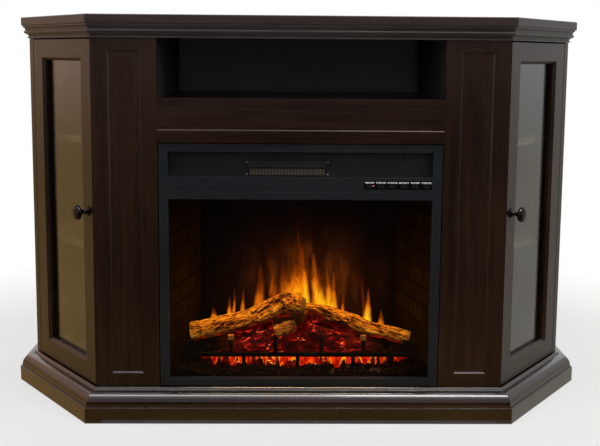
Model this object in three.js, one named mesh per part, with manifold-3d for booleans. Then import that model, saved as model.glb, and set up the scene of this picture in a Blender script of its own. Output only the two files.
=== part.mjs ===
// Corner media cabinet with an electric fire: glazed cupboards on chamfered front corners.
// Millimetres, +X right, +Y to the back, +Z up. The pilasters' front faces lie on y = 0 while the
// cabinet is built; the finished group is moved so that its origin is the middle of its footprint.

import * as THREE from 'three';
import { mergeVertices } from 'three/addons/utils/BufferGeometryUtils.js';
import Module from 'manifold-3d';

const wasm = await Module();
wasm.setup();

// ---------------------------------------------------------------- driving dimensions

const FIT = 0.3;                    // gap between pieces that seat on each other

// plan and heights of the carcass
const insertHalf = 286;             // half the opening between the pilasters
const pilasterWidth = 129;
const chamferRun = 182;             // from the front corner out to the cabinet's side
const chamferAngle = THREE.MathUtils.degToRad(50);
const carcassDepth = 367;
const slabThick = 18;
const slabOverhang = 16;
const slabEase = 1.5;
const crownHeight = 27;             // header and moulding under the slab
const crownReach = 13;
const headerThick = 12;
const baseHeight = 64;
const baseReach = 36;
const plinthHeight = 31;
const plinthLip = 1.5;

// boards
const pilasterThick = 18;
const panelRecess = 3;
const panelWidth = 65;
const panelTopRail = 24;
const panelBottomRail = 28;
const sideThick = 12;
const boardThick = 18;
const shelfThick = 15;
const backThick = 5;
const shelfSetback = 45;            // cupboard shelf behind the door's face
const lowerShelfTop = 338;
const upperShelfTop = 566;
const cleatWidth = 16;
const cleatHeight = 22;

// media bay and the rails below it
const insertOpening = 503;          // height of the insert's opening over the base
const ledgeHeight = 27;
const fasciaHeight = 61;
const bayHeight = 119;
const railThick = 16;
const ledgeReach = 4;
const cableNotchWidth = 120;        // in the media shelf's rear edge
const cableNotchDepth = 30;
const ventWidth = 470;
const ventHeight = 440;
const ventLift = 30;

// doors
const doorThick = 20;
const doorGap = 3;
const hingeGap = 2;
const stileWidth = 40;
const railWidth = 38;
const stickingWidth = 6;
const stickingDepth = 6;
const glassDepth = 13;              // from the door's face to its glass
const glassThick = 4;
const glassPlay = 0.5;
const stopDepth = 18;
const stopReach = 20;
const knobRadius = 15.5;
const knobReach = 30;
const knobHeight = 425;

// concealed hinges
const cupRadius = 13;
const cupWall = 1.5;
const cupDepth = 10;
const cupInset = 18;
const cupFlange = 4;
const cupFlangeThick = 1;
const armWidth = 16;
const armHeight = 9;
const hingePlateLength = 42;
const hingePlateHeight = 44;
const hingePlateThick = 3;
const lowerHingeHeight = 200;
const upperHingeHeight = 640;

// electric insert
const bezelPlay = 2;
const bezelDepth = 14;
const bezelSide = 18;
const bezelTop = 15.5;
const bezelBottom = 14;
const recessHeight = 51.5;
const stripHeight = 28.5;
const barHeight = 16;
const bezelGroove = 1;
const sheet = 2;
const casingDepth = 200;
const casingPlay = 14;
const casingTopPlay = 7;
const paneThick = 4;
const paneLap = 10;

// control panel and its keys
const panelLength = 138;
const panelHeight = 19;
const panelThick = 3;
const panelPocket = 8;
const keyCount = 6;
const keyWidth = 12;
const keyHeight = 6;
const keyTravel = 1.2;
const keyProud = keyTravel + FIT;   // a pressed key stays just proud of the panel
const keyFlange = 2;
const keyFlangeThick = 1.2;
const keyDrop = 3;                  // keys sit below the panel's middle

// heater
const outletWidth = 154;
const outletHeight = 30;
const outletCentre = -27;
const outletSlotCount = 24;
const outletBar = 2;
const outletHood = 6;
const heaterDepth = 16;
const heaterFinCount = 20;
const wheelRadius = 22;
const wheelLength = 146;
const wheelBladeCount = 16;
const wheelBladeThick = 0.9;
const wheelDiscThick = 1.6;
const wheelSetback = 75;
const blowerMotorRadius = 24;
const blowerMotorLength = 34;
const shaftRadius = 2.5;
const shaftPlay = 0.4;
const postThick = 6;
const postHalfWidth = 8;
const postHead = 9;                 // post above its shaft
const intakeCount = 14;
const intakePitch = 13;
const intakeWidth = 6;
const intakeLift = 18;
const intakeDrop = 22;

// firebox
const linerFrontHalf = 265.5;
const linerBackHalf = 220;
const linerThick = 3;
const brickHeight = 39;
const brickLength = 78;
const mortarWidth = 2.4;
const mortarDepth = 1.2;
const screenSetback = 174;
const screenThick = 3;
const bedFront = 10;                // behind the pane
const bedDepth = 118;
const bedEdge = 16;
const bedCrest = 42;
const bedLump = 7.5;
const rotorRadius = 16;
const rotorTabCount = 18;
const rotorTabWidth = 9;
const rotorTabThick = 0.8;
const rotorHalf = 178;
const rotorHeight = 38;
const rotorMotorRadius = 15;
const rotorMotorLength = 22;
const grateBar = 8;
const grateClearance = 5;           // from the liner, each side
const grateHeight = 48;             // top of the bar over the firebox floor
const grateFinger = 34;
const grateSetback = 30;            // behind the coal bed's front edge
const grateLegs = [-0.47, -0.01, 0.465, 0.78];        // shares of grateHalf
const grateFingers = [[-0.58, true], [-0.2, false], [0.19, false], [0.55, true]];  // share, square tip
const gratePostInset = 16;
const grateHeadroom = 60;           // kept free of coals over the bar
const tipHalf = 6;
const postHalf = 9;
const logSetback = 62;
const glandRadius = 8;
const glandFlange = 4;
const glandReach = 16;

// ---------------------------------------------------------------- derived sizes

const frontHalf = insertHalf + pilasterWidth;
const outerHalf = frontHalf + chamferRun;
const cabinetFloor = baseHeight;
const ledgeBottom = cabinetFloor + insertOpening;
const fasciaBottom = ledgeBottom + ledgeHeight;
const bayFloor = fasciaBottom + fasciaHeight;
const headerBottom = bayFloor + bayHeight;
const slabBottom = headerBottom + crownHeight;
const slabTop = slabBottom + slabThick;
const boardTop = slabBottom - FIT;
const boardFoot = cabinetFloor + FIT;
const backFace = carcassDepth - backThick;

const along = new THREE.Vector2(Math.cos(chamferAngle), Math.sin(chamferAngle));
const inward = new THREE.Vector2(-Math.sin(chamferAngle), Math.cos(chamferAngle));
const chamferLength = (outerHalf - frontHalf) / along.x;
const sideFace = sideThick / along.x;                 // the side panel's edge seen beside the door
const doorWidth = chamferLength - sideFace - doorGap - hingeGap;
const hingeStation = chamferLength - sideFace - hingeGap;
const hingeX = frontHalf + hingeStation * along.x;
const hingeY = hingeStation * along.y;
const doorBottom = cabinetFloor + doorGap;
const doorTop = headerBottom - doorGap;

const bezelHalf = insertHalf - bezelPlay;
const bezelFoot = cabinetFloor + bezelPlay;
const bezelHead = ledgeBottom - bezelPlay;
const bezelFront = 1;
const bezelBack = bezelFront + bezelDepth;
const sightHalf = bezelHalf - bezelSide;
const recessTop = bezelHead - bezelTop;
const recessBottom = recessTop - recessHeight;
const barTop = recessBottom - stripHeight;
const sightTop = barTop - barHeight;
const sightBottom = bezelFoot + bezelBottom;
const casingFront = bezelBack + FIT;
const casingBack = casingFront + casingDepth;
const casingHalf = insertHalf - casingPlay;
const casingTop = ledgeBottom - casingTopPlay;
const casingInner = casingHalf - sheet;
const fireFloor = cabinetFloor + FIT + sheet;
const paneTop = sightTop + paneLap;
const deckBottom = paneTop + FIT;
const deckTop = deckBottom + sheet;
const paneBack = casingFront + paneThick;
const bedFrontY = paneBack + bedFront;
const bedBackY = bedFrontY + bedDepth;
const screenY = paneBack + screenSetback - screenThick;
const grateY = bedFrontY + grateSetback;
/** Half-width of the liner's inner faces at a depth. */
const linerHalf = (y) => {
  const t = (y - paneBack) / (screenY + screenThick - paneBack);
  return linerFrontHalf + (linerBackHalf - linerFrontHalf) * t;
};
const grateHalf = linerHalf(grateY + grateBar) - grateClearance;
const rotorY = (bedBackY + screenY) / 2 + 0.5;
const rotorZ = fireFloor + rotorHeight;

// ---------------------------------------------------------------- geometry helpers

/** A geometry with shared corners and nothing but positions. */
function bare(geometry) {
  const copy = geometry.clone();
  copy.deleteAttribute('normal');
  copy.deleteAttribute('uv');
  return mergeVertices(copy, 1e-4);
}

/** The solid that a closed geometry bounds, for cutting and joining. */
function solidOf(geometry) {
  const shape = bare(geometry);
  const mesh = new wasm.Mesh({
    numProp: 3,
    vertProperties: new Float32Array(shape.attributes.position.array),
    triVerts: new Uint32Array(shape.index.array),
  });
  return new wasm.Manifold(mesh);
}

/** The geometry of a solid. */
function geometryOf(solid) {
  const mesh = solid.getMesh();
  const geometry = new THREE.BufferGeometry();
  geometry.setAttribute('position', new THREE.BufferAttribute(mesh.vertProperties, 3));
  geometry.setIndex(new THREE.BufferAttribute(mesh.triVerts, 1));
  return geometry;
}

/** One geometry joined from several that overlap. */
function join(...geometries) {
  return geometryOf(geometries.map(solidOf).reduce((sum, part) => sum.add(part)));
}

/** A geometry with others cut away from it. */
function cut(body, ...tools) {
  return geometryOf(tools.map(solidOf).reduce((rest, tool) => rest.subtract(tool), solidOf(body)));
}

/** A box given by its limits along each axis. */
function box(x0, x1, y0, y1, z0, z1) {
  const geometry = new THREE.BoxGeometry(x1 - x0, y1 - y0, z1 - z0);
  return geometry.translate((x0 + x1) / 2, (y0 + y1) / 2, (z0 + z1) / 2);
}

/** A plan outline, as [x, y] pairs, raised between two heights. */
function prism(outline, z0, z1) {
  const shape = new THREE.Shape(outline.map(([x, y]) => new THREE.Vector2(x, y)));
  return new THREE.ExtrudeGeometry(shape, { depth: z1 - z0, bevelEnabled: false }).translate(0, 0, z0);
}

/** The mirror image of a geometry across x = 0. */
function mirrored(geometry) {
  const flipped = bare(geometry).scale(-1, 1, 1);
  const index = flipped.index.array;
  for (let i = 0; i < index.length; i += 3) [index[i], index[i + 1]] = [index[i + 1], index[i]];
  return flipped;
}

/** A solid skinned over rings of points, with flat ends; the first ring's outline shapes the caps. */
function loft(rings, capOutline) {
  const size = rings[0].length;
  const positions = rings.flat().flatMap((point) => [point.x, point.y, point.z]);
  const index = [];
  for (let ring = 0; ring < rings.length - 1; ring += 1) {
    for (let i = 0; i < size; i += 1) {
      const a = ring * size + i;
      const b = ring * size + ((i + 1) % size);
      index.push(a, b, b + size, a, b + size, a + size);
    }
  }
  const last = (rings.length - 1) * size;
  const winding = Math.sign(THREE.ShapeUtils.area(capOutline));
  THREE.ShapeUtils.triangulateShape(capOutline, []).forEach((triangle) => {
    const corners = triangle.map((i) => capOutline[i]);
    const turns = Math.sign(THREE.ShapeUtils.area(corners)) === winding;
    const [a, b, c] = turns ? triangle : [...triangle].reverse();
    index.push(a, c, b, last + a, last + b, last + c);
  });
  const geometry = new THREE.BufferGeometry();
  geometry.setAttribute('position', new THREE.Float32BufferAttribute(positions, 3));
  geometry.setIndex(index);
  return facingOut(geometry);
}

/** The same geometry with its faces turned outwards. */
function facingOut(geometry) {
  const position = geometry.attributes.position;
  const index = geometry.index.array;
  const corner = (i) => new THREE.Vector3().fromBufferAttribute(position, index[i]);
  let volume = 0;
  for (let i = 0; i < index.length; i += 3) {
    volume += corner(i).dot(corner(i + 1).cross(corner(i + 2)));
  }
  if (volume < 0) {
    for (let i = 0; i < index.length; i += 3) [index[i], index[i + 1]] = [index[i + 1], index[i]];
  }
  return geometry;
}

/** A turned piece about the Z axis from [radius, height] pairs. */
function turned(profile, segments) {
  return new THREE.LatheGeometry(profile.map(([r, h]) => new THREE.Vector2(r, h)), segments)
    .rotateX(Math.PI / 2);
}

/** A plain cylinder whose axis runs along X between two stations. */
function rodX(radius, x0, x1, y, z, segments = 20) {
  return new THREE.CylinderGeometry(radius, radius, x1 - x0, segments)
    .rotateZ(Math.PI / 2)
    .translate((x0 + x1) / 2, y, z);
}

// ---------------------------------------------------------------- the cabinet's plan

/** Right-hand corners of the plan at a reach outside the carcass: front, chamfer's back, rear. */
function planCorners(reach) {
  const front = frontHalf + reach * Math.tan(chamferAngle / 2);
  const outer = outerHalf + reach;
  const turn = (outer - front) * Math.tan(chamferAngle) - reach;
  return {
    front: new THREE.Vector2(front, -reach),
    turn: new THREE.Vector2(outer, turn),
    rear: new THREE.Vector2(outer, carcassDepth),
  };
}

/** The whole plan outline at a reach outside the carcass, anticlockwise from above. */
function planOutline(reach) {
  const { front, turn, rear } = planCorners(reach);
  const right = [front, turn, rear].map((p) => [p.x, p.y]);
  const left = [rear, turn, front].map((p) => [-p.x, p.y]);
  return [...right, ...left];
}

/** A point beside the right-hand chamfer: station along it from the front corner, depth inwards. */
function chamferPoint(station, depth) {
  return [
    frontHalf + station * along.x + depth * inward.x,
    station * along.y + depth * inward.y,
  ];
}

/** A mitred moulding across the front, from a profile of [reach, height] pairs. */
function frontMoulding(profile) {
  const ring = (side) => profile.map(([reach, z]) => {
    const { front } = planCorners(reach);
    return new THREE.Vector3(side * (front.x - FIT / 2), front.y, z);
  });
  return loft([ring(-1), ring(1)], profile.map(([reach, z]) => new THREE.Vector2(reach, z)));
}

/** The same moulding along the right-hand chamfer and the side behind it, in one length. */
function chamferMoulding(profile) {
  const corners = profile.map(([reach, z]) => ({ ...planCorners(reach), z }));
  const shift = (FIT / 2) * 1.2;
  const rings = [
    corners.map(({ front, z }) => new THREE.Vector3(front.x + shift * along.x, front.y + shift * along.y, z)),
    corners.map(({ turn, z }) => new THREE.Vector3(turn.x, turn.y, z)),
    corners.map(({ rear, z }) => new THREE.Vector3(rear.x, rear.y, z)),
  ];
  return loft(rings, profile.map(([reach, z]) => new THREE.Vector2(reach, z)));
}

/** Points inside a quarter curve between two [reach, height] corners, bulging outwards or hollow. */
function quarter(from, to, steps, convex) {
  const points = [];
  for (let i = 1; i < steps; i += 1) {
    const angle = (Math.PI / 2) * (i / steps);
    const s = Math.sin(angle);
    const c = 1 - Math.cos(angle);
    const u = convex ? s : c;
    const v = convex ? c : s;
    points.push([from[0] + (to[0] - from[0]) * u, from[1] + (to[1] - from[1]) * v]);
  }
  return points;
}

// ---------------------------------------------------------------- materials and assembly

const finish = (color, roughness, metalness = 0, extra = {}) =>
  new THREE.MeshStandardMaterial({ color, roughness, metalness, ...extra });

const espresso = finish(0x2b1b15, 0.38);
const espressoInside = finish(0x1d1310, 0.55);
const hardboard = finish(0x1a1411, 0.8);
const clearGlass = finish(0xa9b4b4, 0.05, 0, { transparent: true, opacity: 0.35 });
const bronze = finish(0x17130f, 0.25, 0.9);
const nickel = finish(0xb8b8b4, 0.3, 1);
const darkSteel = finish(0x1c2326, 0.45, 0.6);
const blackSteel = finish(0x0c0d0e, 0.6, 0.5);
const blackPlastic = finish(0x0a0a0b, 0.3);
const zincSteel = finish(0x8f9294, 0.4, 0.9);
const aluminium = finish(0xc4c8ca, 0.3, 1);
const brick = finish(0x2a2119, 0.9);
const smokedScreen = finish(0x050505, 0.15);
const bark = finish(0x8a5a24, 0.9);
const coal = finish(0x2a0f0a, 0.9);
const ironGrate = finish(0x0a0a0a, 0.7, 0.4);

const fireplace = new THREE.Group();

/** Adds a named piece to a group; the geometry is welded so that the piece is one closed body. */
function add(group, name, geometry, material) {
  const mesh = new THREE.Mesh(bare(geometry), material);
  mesh.name = name;
  group.add(mesh);
  return mesh;
}

/** Adds a piece on the right and its mirror image on the left. */
function addPair(group, name, geometry, material) {
  add(group, `${name}_right`, geometry, material);
  add(group, `${name}_left`, mirrored(geometry), material);
}

// ---------------------------------------------------------------- cabinet

function buildSlab() {
  const layers = [
    [slabOverhang - slabEase, slabBottom],
    [slabOverhang, slabBottom + slabEase],
    [slabOverhang, slabTop - slabEase],
    [slabOverhang - slabEase, slabTop],
  ];
  const rings = layers.map(([reach, z]) => planOutline(reach).map(([x, y]) => new THREE.Vector3(x, y, z)));
  const cap = planOutline(slabOverhang).map(([x, y]) => new THREE.Vector2(x, y));
  add(fireplace, 'top_panel', loft(rings, cap), espresso);
}

/** Header and crown in one: flat behind, then bead, cove and fillet out to the slab. */
function crownProfile() {
  const top = slabBottom - FIT;
  const coveTop = [crownReach * 0.92, top - crownHeight * 0.16];
  const coveFoot = [crownReach * 0.66, top - crownHeight * 0.4];
  const beadTop = [crownReach * 0.78, coveFoot[1]];
  const beadFoot = [crownReach * 0.55, top - crownHeight * 0.62];
  const sweepTop = [crownReach * 0.45, beadFoot[1]];
  const sweepFoot = [crownReach * 0.08, headerBottom + 2];
  return [
    [-headerThick, top],
    [crownReach, top],
    [crownReach, coveTop[1] + 1],
    coveTop,
    ...quarter(coveTop, coveFoot, 3, false),
    coveFoot,
    beadTop,
    ...quarter(beadTop, beadFoot, 3, false),
    beadFoot,
    sweepTop,
    ...quarter(sweepTop, sweepFoot, 4, false),
    sweepFoot,
    [0, sweepFoot[1]],
    [0, headerBottom],
    [-headerThick, headerBottom],
  ];
}

/** Plinth, lip and bullnose outside; a rebate and cleat inside carry the bottom panel. */
function baseProfile() {
  const inner = -pilasterThick;
  const cleatTop = cabinetFloor - boardThick;
  const noseTop = [baseReach * 0.24, cabinetFloor - 5];
  const noseFoot = [baseReach - 4, plinthHeight + plinthLip * 2];
  const nose = [];
  for (let i = 0; i <= 7; i += 1) {
    const angle = (Math.PI / 2) * (i / 7);
    nose.push([
      noseTop[0] + (noseFoot[0] - noseTop[0]) * Math.sin(angle),
      noseFoot[1] + (noseTop[1] - noseFoot[1]) * Math.cos(angle),
    ]);
  }
  return [
    [inner, cabinetFloor],
    [baseReach * 0.1, cabinetFloor],
    [baseReach * 0.16, cabinetFloor - 2],
    ...nose,
    [noseFoot[0], plinthHeight + plinthLip],
    [baseReach - plinthLip, plinthHeight + plinthLip],
    [baseReach, plinthHeight],
    [baseReach, 0],
    [inner, 0],
    [inner, cleatTop - cleatHeight],
    [inner - cleatWidth, cleatTop - cleatHeight],
    [inner - cleatWidth, cleatTop],
    [inner, cleatTop],
  ];
}

function buildMouldings() {
  const crown = crownProfile();
  add(fireplace, 'crown_front', frontMoulding(crown), espresso);
  addPair(fireplace, 'crown', chamferMoulding(crown), espresso);
  const base = baseProfile();
  add(fireplace, 'base_front', frontMoulding(base), espresso);
  addPair(fireplace, 'base', chamferMoulding(base), espresso);
  const railHalf = outerHalf - pilasterThick - cleatWidth - FIT;
  const railTop = cabinetFloor - boardThick - FIT;
  const rail = box(-railHalf, railHalf, carcassDepth - boardThick, carcassDepth, 0, railTop);
  add(fireplace, 'base_rear_rail', rail, espressoInside);
}

/** A shallow four-sided sinking with sloped edges, cut from the face y = 0. */
function sinking(x0, x1, z0, z1, depth) {
  const rectangle = (grow, y) => [
    new THREE.Vector3(x0 - grow, y, z0 - grow),
    new THREE.Vector3(x1 + grow, y, z0 - grow),
    new THREE.Vector3(x1 + grow, y, z1 + grow),
    new THREE.Vector3(x0 - grow, y, z1 + grow),
  ];
  const cap = rectangle(0, 0).map((p) => new THREE.Vector2(p.x, p.z));
  return loft([rectangle(1, -1), rectangle(-depth, depth)], cap);
}

function buildPilasters() {
  const legBack = pilasterThick + stopReach;
  const stopFront = doorThick + FIT + 0.2;
  const outline = [
    [insertHalf, 0],
    [frontHalf, 0],
    chamferPoint(0, stopFront),
    chamferPoint(stopDepth, stopFront),
    [chamferPoint(stopDepth, stopFront)[0], legBack],
    [frontHalf - stopReach * 1.7, legBack],
    [frontHalf - stopReach * 1.7, pilasterThick],
    [insertHalf, pilasterThick],
  ];
  const middle = (insertHalf + frontHalf) / 2;
  const board = prism(outline, boardFoot, headerBottom - FIT);
  const recess = sinking(
    middle - panelWidth / 2,
    middle + panelWidth / 2,
    cabinetFloor + panelBottomRail,
    headerBottom - panelTopRail,
    panelRecess,
  );
  addPair(fireplace, 'pilaster', cut(board, recess), espresso);
}

function buildCarcass() {
  const partition = box(
    insertHalf, insertHalf + boardThick,
    pilasterThick + FIT, backFace - FIT,
    boardFoot, boardTop,
  );
  addPair(fireplace, 'partition', partition, espressoInside);
  const { turn, rear } = planCorners(0);
  const side = [
    [outerHalf - sideThick, turn.y - sideThick * Math.tan(chamferAngle)],
    [turn.x, turn.y],
    [rear.x, rear.y],
    [outerHalf - sideThick, rear.y],
  ];
  addPair(fireplace, 'side_panel', prism(side, boardFoot, headerBottom - FIT), espresso);
  const floorOutline = planOutline(-pilasterThick - FIT);
  const floorBoard = prism(floorOutline, cabinetFloor - boardThick + FIT, cabinetFloor);
  add(fireplace, 'bottom_panel', floorBoard, espressoInside);

  const shelfHalf = insertHalf - FIT;
  const shelfRear = backFace - FIT;
  const cableNotch = box(
    -cableNotchWidth / 2, cableNotchWidth / 2,
    shelfRear - cableNotchDepth, shelfRear + 1,
    bayFloor - boardThick - 1, bayFloor + 1,
  );
  const mediaShelf = box(-shelfHalf, shelfHalf, 0, shelfRear, bayFloor - boardThick, bayFloor);
  add(fireplace, 'media_shelf', cut(mediaShelf, cableNotch), espresso);
  add(fireplace, 'fascia_rail',
    box(-shelfHalf, shelfHalf, 0, railThick, fasciaBottom + FIT, bayFloor - boardThick - FIT), espresso);
  const ledge = [
    [railThick, ledgeBottom],
    [railThick, fasciaBottom],
    [-ledgeReach + 2, fasciaBottom],
    [-ledgeReach, fasciaBottom - 2],
    [-ledgeReach, ledgeBottom + 2],
    [-ledgeReach + 2, ledgeBottom],
  ];
  const ring = (x) => ledge.map(([y, z]) => new THREE.Vector3(x, y, z));
  const ledgeCap = ledge.map(([y, z]) => new THREE.Vector2(y, z));
  add(fireplace, 'ledge_rail', loft([ring(-shelfHalf), ring(shelfHalf)], ledgeCap), espresso);
}

function buildBack() {
  const half = outerHalf - sideThick - FIT;
  const sheetBody = box(-half, half, backFace, carcassDepth, boardFoot, boardTop);
  const ventFoot = cabinetFloor + ventLift;
  const vent = box(
    -ventWidth / 2, ventWidth / 2,
    backFace - 1, carcassDepth + 1,
    ventFoot, ventFoot + ventHeight,
  );
  add(fireplace, 'back_panel', cut(sheetBody, vent), hardboard);
}

function buildShelves() {
  const left = insertHalf + boardThick + FIT;
  const right = outerHalf - sideThick - FIT;
  const rear = backFace - FIT;
  const post = pilasterThick + stopReach + FIT;
  const [startX, startY] = chamferPoint(0, shelfSetback);
  const outline = [
    [left, post],
    [startX + (post - startY) / Math.tan(chamferAngle), post],
    [right, startY + (right - startX) * Math.tan(chamferAngle)],
    [right, rear],
    [left, rear],
  ];
  for (const [name, top] of [['shelf_lower', lowerShelfTop], ['shelf_upper', upperShelfTop]]) {
    addPair(fireplace, name, prism(outline, top - shelfThick, top), espressoInside);
  }
}

// ---------------------------------------------------------------- doors

/** A rectangular tube of four-sided tapering section: the cutter for a door's opening. */
function openingCutter(inset, y0, insetDeep, y1) {
  const rectangle = (grow, y) => [
    new THREE.Vector3(-doorWidth + stileWidth + grow, y, doorBottom + railWidth + grow),
    new THREE.Vector3(-stileWidth - grow, y, doorBottom + railWidth + grow),
    new THREE.Vector3(-stileWidth - grow, y, doorTop - railWidth - grow),
    new THREE.Vector3(-doorWidth + stileWidth + grow, y, doorTop - railWidth - grow),
  ];
  const cap = rectangle(0, 0).map((p) => new THREE.Vector2(p.x, p.z));
  return loft([rectangle(inset, y0), rectangle(insetDeep, y1)], cap);
}

/** Door frame in the doorway's frame: x runs along the door to its hinged edge at 0, y goes inwards. */
function doorFrame() {
  const slope = stickingWidth / stickingDepth;
  const bores = [lowerHingeHeight, upperHingeHeight].map((z) =>
    new THREE.CylinderGeometry(cupRadius + FIT, cupRadius + FIT, cupDepth + FIT + 1, 24)
      .translate(-cupInset, doorThick - (cupDepth + FIT) / 2 + 0.5, z));
  return cut(
    box(-doorWidth, 0, 0, doorThick, doorBottom, doorTop),
    openingCutter(-slope, -1, stickingWidth, stickingDepth),
    openingCutter(stickingWidth, stickingDepth - 1, stickingWidth, glassDepth),
    openingCutter(0, glassDepth - FIT, 0, doorThick + 1),
    ...bores,
  );
}

function doorGlass() {
  const play = glassPlay;
  return box(
    -doorWidth + stileWidth + play, -stileWidth - play,
    glassDepth, glassDepth + glassThick,
    doorBottom + railWidth + play, doorTop - railWidth - play,
  );
}

function doorKnob() {
  const profile = [
    [0, 0],
    [knobRadius * 0.6, 0],
    [knobRadius * 0.6, 2],
    [knobRadius * 0.38, 3.5],
    [knobRadius * 0.3, knobReach * 0.22],
    [knobRadius * 0.3, knobReach * 0.42],
    [knobRadius * 0.5, knobReach * 0.53],
    [knobRadius * 0.86, knobReach * 0.62],
    [knobRadius, knobReach * 0.76],
    [knobRadius * 0.92, knobReach * 0.89],
    [knobRadius * 0.62, knobReach * 0.97],
    [0, knobReach],
  ];
  return turned(profile, 24).rotateX(Math.PI / 2).translate(-doorWidth + stileWidth / 2, -FIT, knobHeight);
}

function hingeCup(z) {
  const flangeTop = cupDepth + FIT + cupFlangeThick;
  const profile = [
    [0, 0],
    [cupRadius, 0],
    [cupRadius, cupDepth + FIT],
    [cupRadius + cupFlange, cupDepth + FIT],
    [cupRadius + cupFlange, flangeTop],
    [cupRadius - cupWall, flangeTop],
    [cupRadius - cupWall, cupWall],
    [0, cupWall],
  ];
  return turned(profile, 20).rotateX(-Math.PI / 2).translate(-cupInset, doorThick - cupDepth, z);
}

/** Cranked arm and plate on the side panel's inner face; its nose reaches into the cup's mouth. */
function hingeArm(z) {
  const clear = doorThick + cupFlangeThick + FIT * 2;
  const noseTip = doorThick - 3;
  const noseIn = cupInset;
  const noseOut = cupInset + 8;
  const faceX = outerHalf - sideThick - FIT - hingeX;
  const onFace = (run, off) => [
    (faceX - off) * along.x + run * along.y,
    -(faceX - off) * along.y + run * along.x,
  ];
  const firstRun = (clear + faceX * along.y) / along.x;
  const lastRun = firstRun + hingePlateLength;
  const outline = [
    [-noseOut, noseTip],
    [-noseIn, noseTip],
    [-noseIn, clear],
    onFace(firstRun, 0),
    onFace(lastRun, 0),
    onFace(lastRun, hingePlateThick * 2),
    onFace(firstRun + armHeight * 2, hingePlateThick * 2),
    [0, clear + armHeight],
    [-noseOut, clear + armHeight],
  ];
  const arm = prism(outline, z - armWidth / 2, z + armWidth / 2);
  const plateOutline = [
    onFace(firstRun + 4, 0),
    onFace(lastRun, 0),
    onFace(lastRun, hingePlateThick),
    onFace(firstRun + 4, hingePlateThick),
  ];
  return join(arm, prism(plateOutline, z - hingePlateHeight / 2, z + hingePlateHeight / 2));
}

function buildDoors() {
  const frame = doorFrame();
  const glass = doorGlass();
  const knob = doorKnob();
  const levels = [['lower', lowerHingeHeight], ['upper', upperHingeHeight]];
  for (const side of ['right', 'left']) {
    const turn = (geometry) => (side === 'right' ? geometry : mirrored(geometry));
    const doorway = new THREE.Group();
    doorway.position.set(side === 'right' ? hingeX : -hingeX, hingeY, 0);
    doorway.rotation.z = side === 'right' ? chamferAngle : -chamferAngle;
    fireplace.add(doorway);
    add(doorway, `door_frame_${side}`, turn(frame), espresso);
    add(doorway, `door_glass_${side}`, turn(glass), clearGlass);
    add(doorway, `door_knob_${side}`, turn(knob), bronze);
    for (const [level, z] of levels) {
      add(doorway, `hinge_cup_${level}_${side}`, turn(hingeCup(z)), nickel);
      add(doorway, `hinge_arm_${level}_${side}`, turn(hingeArm(z)), nickel);
    }
  }
}

// ---------------------------------------------------------------- insert: case, bezel, controls

const panelRight = sightHalf - 1;
const panelLeft = panelRight - panelLength;
const panelMiddle = barTop + (stripHeight - 4) / 2 + 2;
const panelFoot = panelMiddle - panelHeight / 2;
const panelHead = panelMiddle + panelHeight / 2;
const panelFace = bezelFront - 0.1;
const keyZ = panelMiddle - keyDrop;
const keyX = (i) => panelLeft + (panelLength * (i + 0.5)) / keyCount;

function buildBezel() {
  const plate = box(-bezelHalf, bezelHalf, bezelFront, bezelBack, bezelFoot, bezelHead);
  const window = (z0, z1) => box(-sightHalf, sightHalf, bezelFront - 1, bezelBack + 1, z0, z1);
  const pocket = box(
    panelLeft, panelRight,
    bezelFront - 1, bezelFront + panelPocket,
    panelFoot, panelHead,
  );
  const groove = box(
    -sightHalf, sightHalf,
    bezelFront - 1, bezelFront + bezelGroove,
    barTop - bezelGroove, barTop,
  );
  add(fireplace, 'insert_bezel',
    cut(plate, window(recessBottom, recessTop), window(sightBottom, sightTop), pocket, groove), darkSteel);
}

function buildControls() {
  const plate = box(
    panelLeft + FIT, panelRight - FIT,
    panelFace, panelFace + panelThick,
    panelFoot + FIT, panelHead - FIT,
  );
  const keyHole = (i) => box(
    keyX(i) - keyWidth / 2 - FIT, keyX(i) + keyWidth / 2 + FIT,
    panelFace - 1, panelFace + panelThick + 1,
    keyZ - keyHeight / 2 - FIT, keyZ + keyHeight / 2 + FIT,
  );
  const holes = Array.from({ length: keyCount }, (_, i) => keyHole(i));
  add(fireplace, 'control_panel', cut(plate, ...holes), blackPlastic);
  const flangeFront = panelFace + panelThick + FIT;
  for (let i = 0; i < keyCount; i += 1) {
    const cap = box(
      keyX(i) - keyWidth / 2, keyX(i) + keyWidth / 2,
      panelFace - keyProud, flangeFront + keyFlangeThick / 2,
      keyZ - keyHeight / 2, keyZ + keyHeight / 2,
    );
    const flange = box(
      keyX(i) - keyWidth / 2 - keyFlange, keyX(i) + keyWidth / 2 + keyFlange,
      flangeFront, flangeFront + keyFlangeThick,
      keyZ - keyHeight / 2 - keyFlange, keyZ + keyHeight / 2 + keyFlange,
    );
    add(fireplace, `key_${i + 1}`, join(cap, flange), blackPlastic);
  }
}

const wheelY = casingFront + wheelSetback;
const wheelZ = (deckTop + casingTop - sheet) / 2;
const wheelLeft = outletCentre - wheelLength / 2;
const wheelRight = outletCentre + wheelLength / 2;
const stubLength = 12;
const blowerPostX = wheelLeft - 4 - postThick;
const rotorPostX = -rotorHalf - postThick;
const glandX = casingInner - 40;
const glandZ = fireFloor + 35;

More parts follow.
